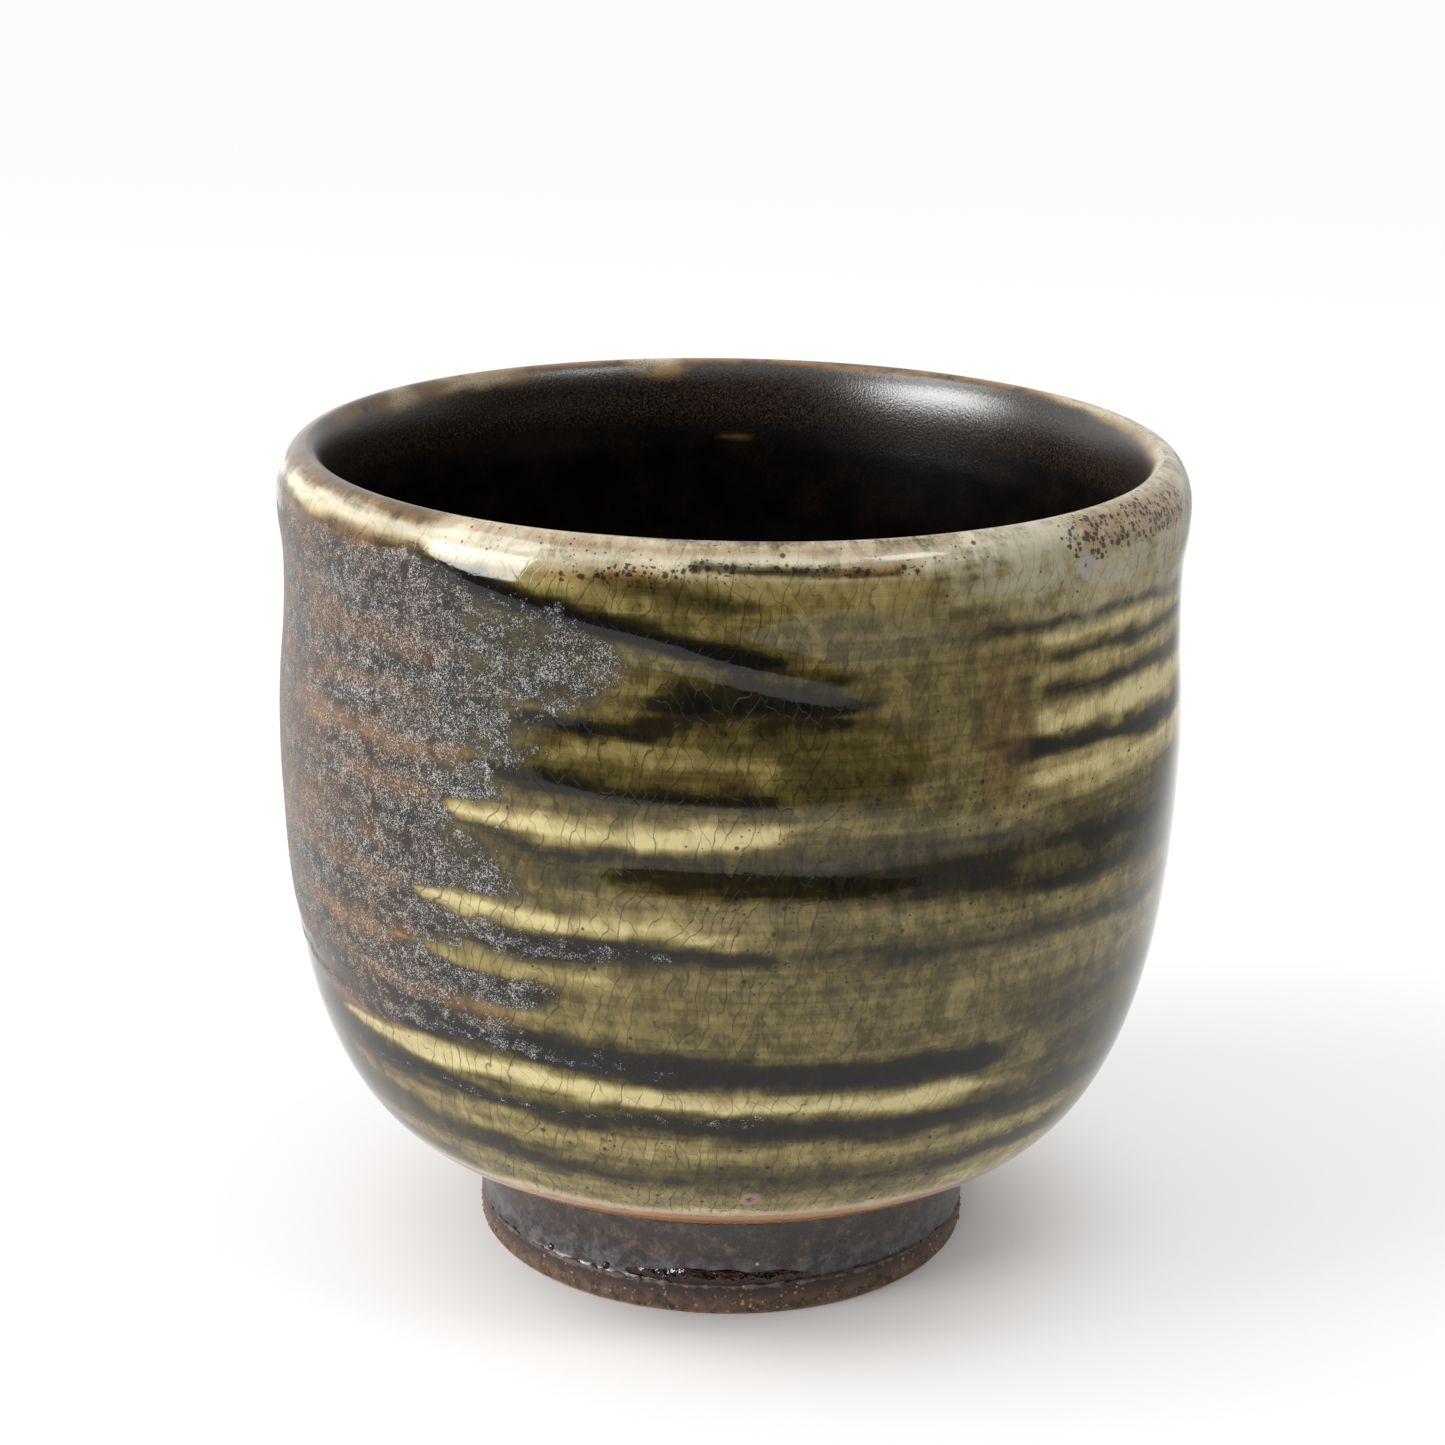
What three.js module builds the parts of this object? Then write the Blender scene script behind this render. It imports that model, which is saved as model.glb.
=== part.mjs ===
// A footed stoneware tea cup: a thrown bowl luted on a foot ring, brushed with slip,
// ash-glazed outside, lined with iron glaze and washed with iron below the glaze line.
// Millimetres, +Z up, origin at the centre of the face that the foot stands on.
import * as THREE from "three";

// Driving dimensions of the finished outside
const CUP_HEIGHT = 83;
const LIP_RADIUS = 45;
const LIP_FLARE_DROP = 4.9; // from the crest down to the lip's widest ring
const LIP_ROUND_OUT = 3; // from the widest ring in to the crest
const WAIST_RADIUS = 44.5;
const WAIST_DROP = 11.6; // from the crest
const BELLY_RADIUS = 45.3;
const BELLY_DROP = 28.7; // from the crest
const BELLY_FULLNESS = 0.61; // how long the wall stays upright below the belly
const TURN_FULLNESS = 0.19; // how long the underside runs on before it turns up
const UNDERSIDE_SLOPE = THREE.MathUtils.degToRad(28); // where the glaze ends
const GLAZE_LINE_OVERHANG = 8; // how far the glaze line stands out from the foot
const GLAZE_LINE_RISE = 3; // above the foot's seat

// Driving dimensions of the finished inside
const WALL_THICKNESS = 4.8; // through clay and all coats
const LIP_ROUND_IN = 2.2; // from the crest in to the inner wall
const LIP_INNER_DROP = 6.5; // from the crest down to the end of the inner rounding
const FLOOR_THICKNESS = 4; // above the foot's seat
const FLOOR_FLATNESS = 0.35; // share of the floor's radius that stays level

// Driving dimensions of the foot
const FOOT_RADIUS = 25.4; // of the plain band above the standing face
const FOOT_HEIGHT = 11; // up to the seat under the bowl
const FOOT_WIDTH = 6.4; // of the ring, measured along a radius
const FOOT_EDGE_BREAK = 0.6; // chamfer round the standing face
const FOOT_BAND_HEIGHT = 3.1;
const LEDGE_DEPTH = 0.7; // on top of the band, where glaze pools
const NECK_FLARE = 0.4; // the neck widens this much from the ledge up to the seat
const RECESS_DEPTH = 8.6; // inside the ring, at the rim of the boss
const BOSS_CONE = 0.8; // the boss hangs lower at its middle by this much
const LUTING_GAP = 0.3; // slip joint between the boss and the ring

// Driving dimensions of the coats
const SLIP_THICKNESS = 0.3;
const GLAZE_THICKNESS = 0.6;
const LINER_THICKNESS = 0.6;
const WASH_THICKNESS = 0.3;
const POOL_HEIGHT = 1.6; // of the wash standing on the ledge
const BARE_CLAY_WIDTH = 1; // toasted clay left between glaze and wash

// Facets round the axis and points along each stretch of an outline
const FACETS = 48;
const LOWER_WALL_STEPS = 7;
const UPPER_WALL_STEPS = 2;
const FLARE_STEPS = 2;
const LIP_STEPS = 3;
const FLOOR_STEPS = 4;
const UNDERSIDE_STEPS = 3;

// Levels and radii that follow from the driving dimensions
const bellyHeight = CUP_HEIGHT - BELLY_DROP;
const waistHeight = CUP_HEIGHT - WAIST_DROP;
const flareHeight = CUP_HEIGHT - LIP_FLARE_DROP;
const crest = new THREE.Vector2(LIP_RADIUS - LIP_ROUND_OUT, CUP_HEIGHT);
const glazeLine = new THREE.Vector2(FOOT_RADIUS + GLAZE_LINE_OVERHANG, FOOT_HEIGHT + GLAZE_LINE_RISE);
const floorHeight = FOOT_HEIGHT + FLOOR_THICKNESS;
const footInnerRadius = FOOT_RADIUS - FOOT_WIDTH;

const slopeDirection = new THREE.Vector2(Math.cos(UNDERSIDE_SLOPE), Math.sin(UNDERSIDE_SLOPE));
const slopeInward = new THREE.Vector2(-slopeDirection.y, slopeDirection.x);

// A point of an outline: x is the radius, y the height
function at(radius, height) {
  return new THREE.Vector2(radius, height);
}

// The wall below the belly: off the sloping underside, up to a vertical tangent at the belly
function lowerWall(bottom, belly) {
  const rise = belly.y - bottom.y;
  const leave = bottom.clone().addScaledVector(slopeDirection, TURN_FULLNESS * rise);
  const arrive = at(belly.x, belly.y - BELLY_FULLNESS * rise);
  return new THREE.CubicBezierCurve(bottom, leave, arrive, belly);
}

// A gentle S between two rings where the wall is upright
function uprightSweep(start, end) {
  const middle = (start.y + end.y) / 2;
  return new THREE.CubicBezierCurve(start, at(start.x, middle), at(end.x, middle), end);
}

// A quarter of an ellipse between the crest of the lip and an upright wall
function lipQuarter(wallPoint, startAngle, endAngle) {
  const across = Math.abs(wallPoint.x - crest.x);
  const drop = crest.y - wallPoint.y;
  return new THREE.EllipseCurve(crest.x, wallPoint.y, across, drop, startAngle, endAngle);
}

// Points along joined curves, each stretch cut in its own number of steps
function pointsAlong(stretches) {
  const points = [];
  stretches.forEach(([curve, steps], index) => {
    points.push(...curve.getPoints(steps).slice(index === 0 ? 0 : 1));
  });
  return points;
}

// The finished outside, from the glaze line up to the crest
function outsideStretches() {
  const belly = at(BELLY_RADIUS, bellyHeight);
  const waist = at(WAIST_RADIUS, waistHeight);
  const flare = at(LIP_RADIUS, flareHeight);
  return [
    [lowerWall(glazeLine, belly), LOWER_WALL_STEPS],
    [uprightSweep(belly, waist), UPPER_WALL_STEPS],
    [uprightSweep(waist, flare), FLARE_STEPS],
    [lipQuarter(flare, 0, Math.PI / 2), LIP_STEPS],
  ];
}

// The finished inside, from the crest down to the middle of the floor
function insideStretches() {
  const shoulder = at(crest.x - LIP_ROUND_IN, CUP_HEIGHT - LIP_INNER_DROP);
  const waist = at(WAIST_RADIUS - WALL_THICKNESS, waistHeight);
  const belly = at(BELLY_RADIUS - WALL_THICKNESS, bellyHeight);
  const turn = glazeLine.clone().addScaledVector(slopeInward, WALL_THICKNESS);
  const middle = at(0, floorHeight);
  const level = at(FLOOR_FLATNESS * turn.x, floorHeight);
  const ease = turn.clone().addScaledVector(slopeDirection, (floorHeight - turn.y) / slopeDirection.y);
  const wall = lowerWall(turn, belly);
  const wallDown = new THREE.CubicBezierCurve(wall.v3, wall.v2, wall.v1, wall.v0);
  return [
    [lipQuarter(shoulder, Math.PI / 2, Math.PI), LIP_STEPS],
    [uprightSweep(shoulder, waist), FLARE_STEPS],
    [uprightSweep(waist, belly), UPPER_WALL_STEPS],
    [wallDown, LOWER_WALL_STEPS],
    [new THREE.CubicBezierCurve(turn, ease, level, middle), FLOOR_STEPS],
  ];
}

// Steps of unit thickness to the left of an outline, mitred where it bends and upright on the axis
function leftSteps(outline) {
  const sides = outline.slice(1).map((point, index) => {
    const along = point.clone().sub(outline[index]).normalize();
    return at(-along.y, along.x);
  });
  return outline.map((point, index) => {
    if (point.x === 0) return at(0, -1);
    const before = sides[Math.max(index - 1, 0)];
    const after = sides[Math.min(index, sides.length - 1)];
    return before.clone().add(after).divideScalar(1 + before.dot(after));
  });
}

const outside = pointsAlong(outsideStretches());
const skin = [...outside, ...pointsAlong(insideStretches()).slice(1)];
const skinSteps = leftSteps(skin);
const crestIndex = outside.length - 1;
const skinEnd = skin.length - 1;

// The skin between two of its points, sunk into the wall by a depth
function sunk(first, last, depth) {
  const stretch = skin.slice(first, last + 1);
  return stretch.map((point, index) => point.clone().addScaledVector(skinSteps[first + index], depth));
}

// A closed ring or a solid turned from an outline that runs anticlockwise, radius to the right
function turned(outline, closed) {
  const points = closed ? [...outline, outline[0]] : outline;
  return new THREE.LatheGeometry(points, FACETS).rotateX(Math.PI / 2);
}

// A coat between two depths of the skin
function coat(first, last, topDepth, bottomDepth) {
  return [...sunk(first, last, bottomDepth).reverse(), ...sunk(first, last, topDepth)];
}

const claySkinDepth = SLIP_THICKNESS + GLAZE_THICKNESS;
const ledge = at(FOOT_RADIUS - LEDGE_DEPTH, FOOT_BAND_HEIGHT);
const seat = at(ledge.x + NECK_FLARE, FOOT_HEIGHT);

// The bare underside, from the foot's seat out to the clay behind the glaze line
function undersideOutline() {
  const clayEdge = sunk(0, 0, claySkinDepth)[0];
  const leave = at((seat.x + clayEdge.x) / 2, FOOT_HEIGHT);
  const arrive = clayEdge.clone().addScaledVector(slopeDirection, -(clayEdge.x - seat.x) / 2);
  return new THREE.CubicBezierCurve(seat, leave, arrive, clayEdge).getPoints(UNDERSIDE_STEPS);
}

// The clay of the bowl, with the boss that centres the foot ring
function bowlOutline() {
  const bossRadius = footInnerRadius - LUTING_GAP;
  return [
    at(0, RECESS_DEPTH - BOSS_CONE),
    at(bossRadius, RECESS_DEPTH),
    at(bossRadius, FOOT_HEIGHT),
    ...undersideOutline(),
    ...sunk(0, crestIndex, claySkinDepth).slice(1),
    ...sunk(crestIndex, skinEnd, LINER_THICKNESS),
  ];
}

// The foot ring: a band with broken edges, a ledge, and a neck up to the seat
function footOutline() {
  return [
    at(footInnerRadius + FOOT_EDGE_BREAK, 0),
    at(FOOT_RADIUS - FOOT_EDGE_BREAK, 0),
    at(FOOT_RADIUS, FOOT_EDGE_BREAK),
    at(FOOT_RADIUS, FOOT_BAND_HEIGHT),
    ledge,
    seat,
    at(footInnerRadius, FOOT_HEIGHT),
    at(footInnerRadius, FOOT_EDGE_BREAK),
  ];
}

// The iron wash: pooled on the ledge, up the neck and out along the underside
function washOutline() {
  const underside = undersideOutline();
  const bareFrom = underside[UNDERSIDE_STEPS].x - BARE_CLAY_WIDTH;
  const covered = underside.filter((point) => point.x < bareFrom);
  const last = covered[covered.length - 1];
  const beyond = underside[covered.length];
  const edge = last.clone().lerp(beyond, (bareFrom - last.x) / (beyond.x - last.x));
  const poolTop = ledge.clone().lerp(seat, POOL_HEIGHT / (seat.y - ledge.y));
  const clayFace = [poolTop, ...covered, edge];
  const steps = leftSteps(clayFace);
  const face = clayFace.map((point, index) => point.clone().addScaledVector(steps[index], -WASH_THICKNESS));
  return [ledge, at(FOOT_RADIUS, FOOT_BAND_HEIGHT), ...face, ...clayFace.reverse()];
}

function piece(name, outline, closed, color, roughness) {
  const material = new THREE.MeshStandardMaterial({ color, roughness, metalness: 0 });
  const mesh = new THREE.Mesh(turned(outline, closed), material);
  mesh.name = name;
  return mesh;
}

const cup = new THREE.Group();
cup.name = "footed_cup";
cup.add(
  piece("clay_bowl", bowlOutline(), false, 0x8a5a3c, 0.9),
  piece("foot_ring", footOutline(), true, 0x4a3228, 0.75),
  piece("slip_coat", coat(0, crestIndex, GLAZE_THICKNESS, claySkinDepth), true, 0xd9cfae, 0.9),
  piece("outer_glaze", coat(0, crestIndex, 0, GLAZE_THICKNESS), true, 0x8c8350, 0.2),
  piece("inner_glaze", coat(crestIndex, skinEnd, 0, LINER_THICKNESS), false, 0x1e1713, 0.3),
  piece("iron_wash", washOutline(), true, 0x3a2c28, 0.4),
);

export default cup;
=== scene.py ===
"""Looks of a footed stoneware tea cup.

A thrown bowl stands on a turned foot ring. Pale slip is brushed round the outside and lies under a crackled
ash glaze, the inside is lined with dark iron glaze, and the foot is washed with iron. Everything is in
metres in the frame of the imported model: +Z up, the foot standing on zero, the photographed side towards -Y.
Outlines are drawn in millimetres as (radius, height). Angles are in degrees, 0 towards -Y and growing to the
viewer's right.
"""

import logging
import math
from collections.abc import Sequence
from dataclasses import dataclass, field, fields
from enum import Enum
from typing import ClassVar

import bpy
import numpy as np
from bpy.types import Material, Mesh, Node, NodeOutputs, NodeSocket, NodeTree, Object
from mathutils import Euler, Matrix, Vector


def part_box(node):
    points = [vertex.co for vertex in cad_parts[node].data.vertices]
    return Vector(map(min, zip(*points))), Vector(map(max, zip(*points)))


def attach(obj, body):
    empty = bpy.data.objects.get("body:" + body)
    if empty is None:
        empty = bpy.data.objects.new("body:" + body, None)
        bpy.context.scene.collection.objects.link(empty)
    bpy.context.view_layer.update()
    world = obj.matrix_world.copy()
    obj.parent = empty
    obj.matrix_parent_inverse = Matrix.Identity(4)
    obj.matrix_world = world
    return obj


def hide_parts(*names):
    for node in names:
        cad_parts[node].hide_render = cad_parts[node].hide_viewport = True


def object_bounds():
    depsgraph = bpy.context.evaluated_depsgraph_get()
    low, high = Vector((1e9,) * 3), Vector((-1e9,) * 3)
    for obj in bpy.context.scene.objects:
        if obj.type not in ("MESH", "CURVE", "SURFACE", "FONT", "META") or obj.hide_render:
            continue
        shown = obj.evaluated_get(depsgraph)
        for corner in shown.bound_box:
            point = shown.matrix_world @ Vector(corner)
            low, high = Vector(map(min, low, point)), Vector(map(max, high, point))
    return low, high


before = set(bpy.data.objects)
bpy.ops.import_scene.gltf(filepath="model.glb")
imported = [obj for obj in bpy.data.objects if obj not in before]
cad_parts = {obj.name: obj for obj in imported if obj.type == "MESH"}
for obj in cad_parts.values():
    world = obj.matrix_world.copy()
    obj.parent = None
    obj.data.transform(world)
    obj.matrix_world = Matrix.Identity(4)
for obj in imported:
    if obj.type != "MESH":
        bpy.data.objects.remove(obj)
CAD_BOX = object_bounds()

LOG = logging.getLogger("footed_cup")
MM = 0.001
BODY = "root"
PHOTO_SIDE = 1445
SENSOR_WIDTH = 36.0
SHARP_ANGLE = math.radians(38)
WELD = 0.002 * MM
# Taken off the taper of a bead, so that rounding leaves no opening at its ends.
CLOSED_END = 1e-5
# Points of an outline that are nearer to the axis than this, in millimetres, lie on it.
ON_AXIS = 1e-6

Socket = NodeSocket
Feed = Socket | float | int | Sequence[float]
Points = np.ndarray
Colour = tuple[float, float, float]
Ramp = tuple[tuple[float, Colour], ...]


class Coat(Enum):
    """Layers that the brush and the kiln leave on the glaze, each a named attribute of its mesh."""

    SLIP = "slip"
    RUST = "rust"
    CRYSTAL = "crystal"
    SPECK = "speck"
    MILK = "milk"


def smooth(value: np.ndarray) -> np.ndarray:
    """Eases values between 0 and 1.

    Args:
        value: numbers that are clipped to 0 and 1 first.

    Returns:
        The eased numbers.
    """
    clipped = np.clip(value, 0.0, 1.0)
    return clipped * clipped * (3.0 - 2.0 * clipped)


def bezier(start: Points, leave: Points, arrive: Points, end: Points, steps: int) -> Points:
    """Samples a cubic curve.

    Args:
        start: first point.
        leave: handle of the first point.
        arrive: handle of the last point.
        end: last point.
        steps: number of stretches.

    Returns:
        The points after the first one.
    """
    t = np.linspace(0.0, 1.0, steps + 1)[1:, None]
    s = 1.0 - t
    return s**3 * start + 3 * s * s * t * leave + 3 * s * t * t * arrive + t**3 * end


class Outline:
    """An outline of radius and height in millimetres, grown stretch by stretch."""

    def __init__(self, radius: float, height: float) -> None:
        """Starts the outline at one point."""
        self.points = np.array([[radius, height]], float)

    def grow(self, more: Points) -> "Outline":
        """Adds points to the end and returns the outline itself."""
        self.points = np.concatenate([self.points, more])
        return self

    def line(self, radius: float, height: float, steps: int = 1) -> "Outline":
        """Runs straight to a point.

        Args:
            radius: radius at the end.
            height: height at the end.
            steps: number of stretches.

        Returns:
            The outline itself.
        """
        t = np.linspace(0.0, 1.0, steps + 1)[1:, None]
        start = self.points[-1]
        return self.grow(start + t * (np.array([radius, height]) - start))

    def sweep(self, radius: float, height: float, steps: int) -> "Outline":
        """Runs as a gentle S between two upright tangents.

        Args:
            radius: radius at the end.
            height: height at the end.
            steps: number of stretches.

        Returns:
            The outline itself.
        """
        start, end = self.points[-1], np.array([radius, height])
        middle = (start[1] + end[1]) / 2
        leave, arrive = np.array([start[0], middle]), np.array([end[0], middle])
        return self.grow(bezier(start, leave, arrive, end, steps))

    def quarter(self, radius: float, height: float, steps: int, upright_first: bool) -> "Outline":
        """Runs along a quarter of an ellipse.

        Args:
            radius: radius at the end.
            height: height at the end.
            steps: number of stretches.
            upright_first: whether the quarter starts upright and ends level.

        Returns:
            The outline itself.
        """
        angle = np.linspace(0.0, math.pi / 2, steps + 1)[1:]
        gone, left = np.sin(angle), 1.0 - np.cos(angle)
        across, up = (left, gone) if upright_first else (gone, left)
        start, end = self.points[-1], np.array([radius, height])
        return self.grow(start + np.stack([across, up], -1) * (end - start))


def left_steps(points: Points) -> Points:
    """Steps of unit thickness to the left of an outline, mitred where it bends.

    Args:
        points: the outline.

    Returns:
        One step for each point, level with the axis where the outline meets it.
    """
    along = np.diff(points, axis=0)
    along /= np.linalg.norm(along, axis=1)[:, None]
    side = np.stack([-along[:, 1], along[:, 0]], -1)
    before = np.concatenate([side[:1], side])
    after = np.concatenate([side, side[-1:]])
    steps = (before + after) / (1.0 + (before * after).sum(1))[:, None]
    steps[points[:, 0] < ON_AXIS] = (0.0, -1.0)
    return steps


def coat_ring(face: Points, thickness: float, back_stride: int) -> Points:
    """Closes a coat behind its face.

    Args:
        face: the outline of the face, with the clay on its left.
        thickness: of the coat.
        back_stride: how many face points one back point stands for.

    Returns:
        The closed outline, with its first point repeated at the end.
    """
    back = face + left_steps(face) * thickness
    picked = back[::-1][::back_stride]
    if len(back) % back_stride != 1:
        picked = np.concatenate([picked, back[:1]])
    return np.concatenate([face, picked, face[:1]])


class NodeSheet:
    """Short calls that add nodes to a tree and wire them."""

    def __init__(self, tree: NodeTree) -> None:
        """Keeps the tree that the nodes go to."""
        self.tree = tree

    def wire(self, node: Node, feeds: dict[str | int, Feed]) -> None:
        """Links sockets to a node's inputs and sets plain values there.

        Args:
            node: that is fed.
            feeds: what goes into its inputs, by name or index.
        """
        for key, value in feeds.items():
            if isinstance(value, Socket):
                self.tree.links.new(value, node.inputs[key])
            else:
                node.inputs[key].default_value = value

    def add(self, kind: str, feeds: dict[str | int, Feed] | None = None, **settings: object) -> Node:
        """Adds one node.

        Args:
            kind: the node's type name.
            feeds: what goes into its inputs, by name or index.
            **settings: the node's own properties.

        Returns:
            The new node.
        """
        node = self.tree.nodes.new(kind)
        for name, value in settings.items():
            setattr(node, name, value)
        self.wire(node, feeds or {})
        return node

    def math(self, operation: str, first: Feed, second: Feed = 0.0, clamp: bool = False) -> Socket:
        """Adds a Math node and returns its result."""
        feeds = {0: first, 1: second}
        return self.add("ShaderNodeMath", feeds, operation=operation, use_clamp=clamp).outputs[0]

    def times(self, first: Feed, second: Feed) -> Socket:
        """Multiplies two numbers and returns the result."""
        return self.math("MULTIPLY", first, second)

    def plus(self, first: Feed, second: Feed) -> Socket:
        """Adds two numbers and returns the result."""
        return self.math("ADD", first, second)

    def minus(self, first: Feed, second: Feed) -> Socket:
        """Takes the second number from the first and returns the result."""
        return self.math("SUBTRACT", first, second)

    def most(self, first: Feed, second: Feed) -> Socket:
        """Returns the larger of two numbers."""
        return self.math("MAXIMUM", first, second)

    def swing(self, noise: Feed, reach: Feed) -> Socket:
        """Centres a noise on zero, scales it to a reach and returns it."""
        return self.times(self.minus(noise, 0.5), reach)

    def vector(self, operation: str, first: Feed, second: Feed) -> Socket:
        """Adds a Vector Math node and returns its vector."""
        return self.add("ShaderNodeVectorMath", {0: first, 1: second}, operation=operation).outputs[0]

    def measure(self, operation: str, first: Feed, second: Feed) -> Socket:
        """Adds a Vector Math node and returns its number."""
        return self.add("ShaderNodeVectorMath", {0: first, 1: second}, operation=operation).outputs["Value"]

    def scaled(self, vector: Feed, factor: Feed) -> Socket:
        """Scales a vector by one number and returns it."""
        return self.add("ShaderNodeVectorMath", {0: vector, "Scale": factor}, operation="SCALE").outputs[0]

    def combine(self, x: Feed = 0.0, y: Feed = 0.0, z: Feed = 0.0) -> Socket:
        """Returns the vector of three numbers."""
        return self.add("ShaderNodeCombineXYZ", {0: x, 1: y, 2: z}).outputs[0]

    def split(self, vector: Feed) -> NodeOutputs:
        """Returns the three numbers of a vector."""
        return self.add("ShaderNodeSeparateXYZ", {0: vector}).outputs

    def ease(self, value: Feed, low: Feed, high: Feed, start: Feed = 0.0, end: Feed = 1.0) -> Socket:
        """Maps low and high to start and end with a soft step and returns the result."""
        feeds = {0: value, 1: low, 2: high, 3: start, 4: end}
        return self.add("ShaderNodeMapRange", feeds, interpolation_type="SMOOTHSTEP").outputs[0]

    def mix(self, factor: Feed, first: Feed, second: Feed) -> Socket:
        """Mixes two colours, each a socket or red, green and blue, and returns the result."""
        pair = [value if isinstance(value, Socket) else (*value, 1.0) for value in (first, second)]
        return self.add("ShaderNodeMix", {0: factor, 6: pair[0], 7: pair[1]}, data_type="RGBA").outputs[2]

    def ramp(self, value: Feed, stops: Ramp) -> Socket:
        """Turns a number into a colour.

        Args:
            value: the number.
            stops: places along the ramp with their linear colours.

        Returns:
            The colour.
        """
        node = self.add("ShaderNodeValToRGB", {0: value})
        elements = node.color_ramp.elements
        while len(elements) < len(stops):
            elements.new(1.0)
        for element, (place, colour) in zip(elements, stops):
            element.position = place
            element.color = (*colour, 1.0)
        return node.outputs[0]

    def noise(
        self, vector: Feed, scale: float, detail: float = 2.0, roughness: float = 0.5, distortion: float = 0.0
    ) -> Socket:
        """Adds a Noise Texture and returns its number."""
        feeds = {"Vector": vector, "Scale": scale, "Detail": detail, "Roughness": roughness}
        return self.add("ShaderNodeTexNoise", feeds | {"Distortion": distortion}).outputs[0]

    def seeded(self, vector: Feed, seed: Feed, scale: float, detail: float) -> Socket:
        """Adds a Noise Texture with a seed and returns its number."""
        feeds = {"Vector": vector, "W": seed, "Scale": scale, "Detail": detail}
        return self.add("ShaderNodeTexNoise", feeds, noise_dimensions="4D").outputs[0]

    def attribute(self, coat: Coat) -> Socket:
        """Returns how much of a coat the mesh carries."""
        return self.add("ShaderNodeAttribute", attribute_name=coat.value).outputs["Fac"]

    def position(self) -> Socket:
        """Returns the place of a point in a geometry tree, in metres."""
        return self.add("GeometryNodeInputPosition").outputs[0]

    def millimetres(self) -> Socket:
        """Returns the place on the piece, in millimetres."""
        return self.scaled(self.add("ShaderNodeTexCoord").outputs["Object"], 1.0 / MM)

    def bump(self, height: Feed, strength: float, depth: float) -> Socket:
        """Adds relief of a depth in metres and returns its normal."""
        feeds = {"Strength": strength, "Distance": depth, "Height": height}
        return self.add("ShaderNodeBump", feeds).outputs[0]

    def dots(self, vector: Feed, scale: float, share: Feed, size: float) -> Socket:
        """Scatters round spots.

        Args:
            vector: where the spots lie.
            scale: cells to a unit of the vector.
            share: how many of the cells hold a spot, from 0 to 1.
            size: radius of the largest spot, as a share of a cell.

        Returns:
            1 on a spot and 0 elsewhere.
        """
        cells = self.add("ShaderNodeTexVoronoi", {"Vector": vector, "Scale": scale})
        chance = self.split(cells.outputs["Color"])
        radius = self.times(chance[0], size)
        spot = self.ease(cells.outputs["Distance"], radius, self.times(radius, 0.5))
        return self.times(spot, self.math("LESS_THAN", chance[1], share))


def new_material(name: str) -> tuple[Material, NodeSheet, Node]:
    """Makes an empty material.

    Args:
        name: of the material.

    Returns:
        The material, its sheet and its surface shader.
    """
    material = bpy.data.materials.new(name)
    material.use_nodes = True
    sheet = NodeSheet(material.node_tree)
    return material, sheet, material.node_tree.nodes["Principled BSDF"]


@dataclass(frozen=True)
class Pit:
    """A pinhole burst through the glaze: angle in degrees, lengths in millimetres."""

    angle: float
    radius: float
    height: float
    hole: float
    halo: float
    tint: Colour

    @property
    def place(self) -> tuple[float, float, float]:
        """Where the pit lies, in millimetres."""
        turn = math.radians(self.angle)
        return self.radius * math.sin(turn), -self.radius * math.cos(turn), self.height


@dataclass(frozen=True)
class Cracks:
    """A family of cracks: how far they lean, millimetres from one to the next, and how dark they are."""

    lean: float
    spacing: float
    strength: float


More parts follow.
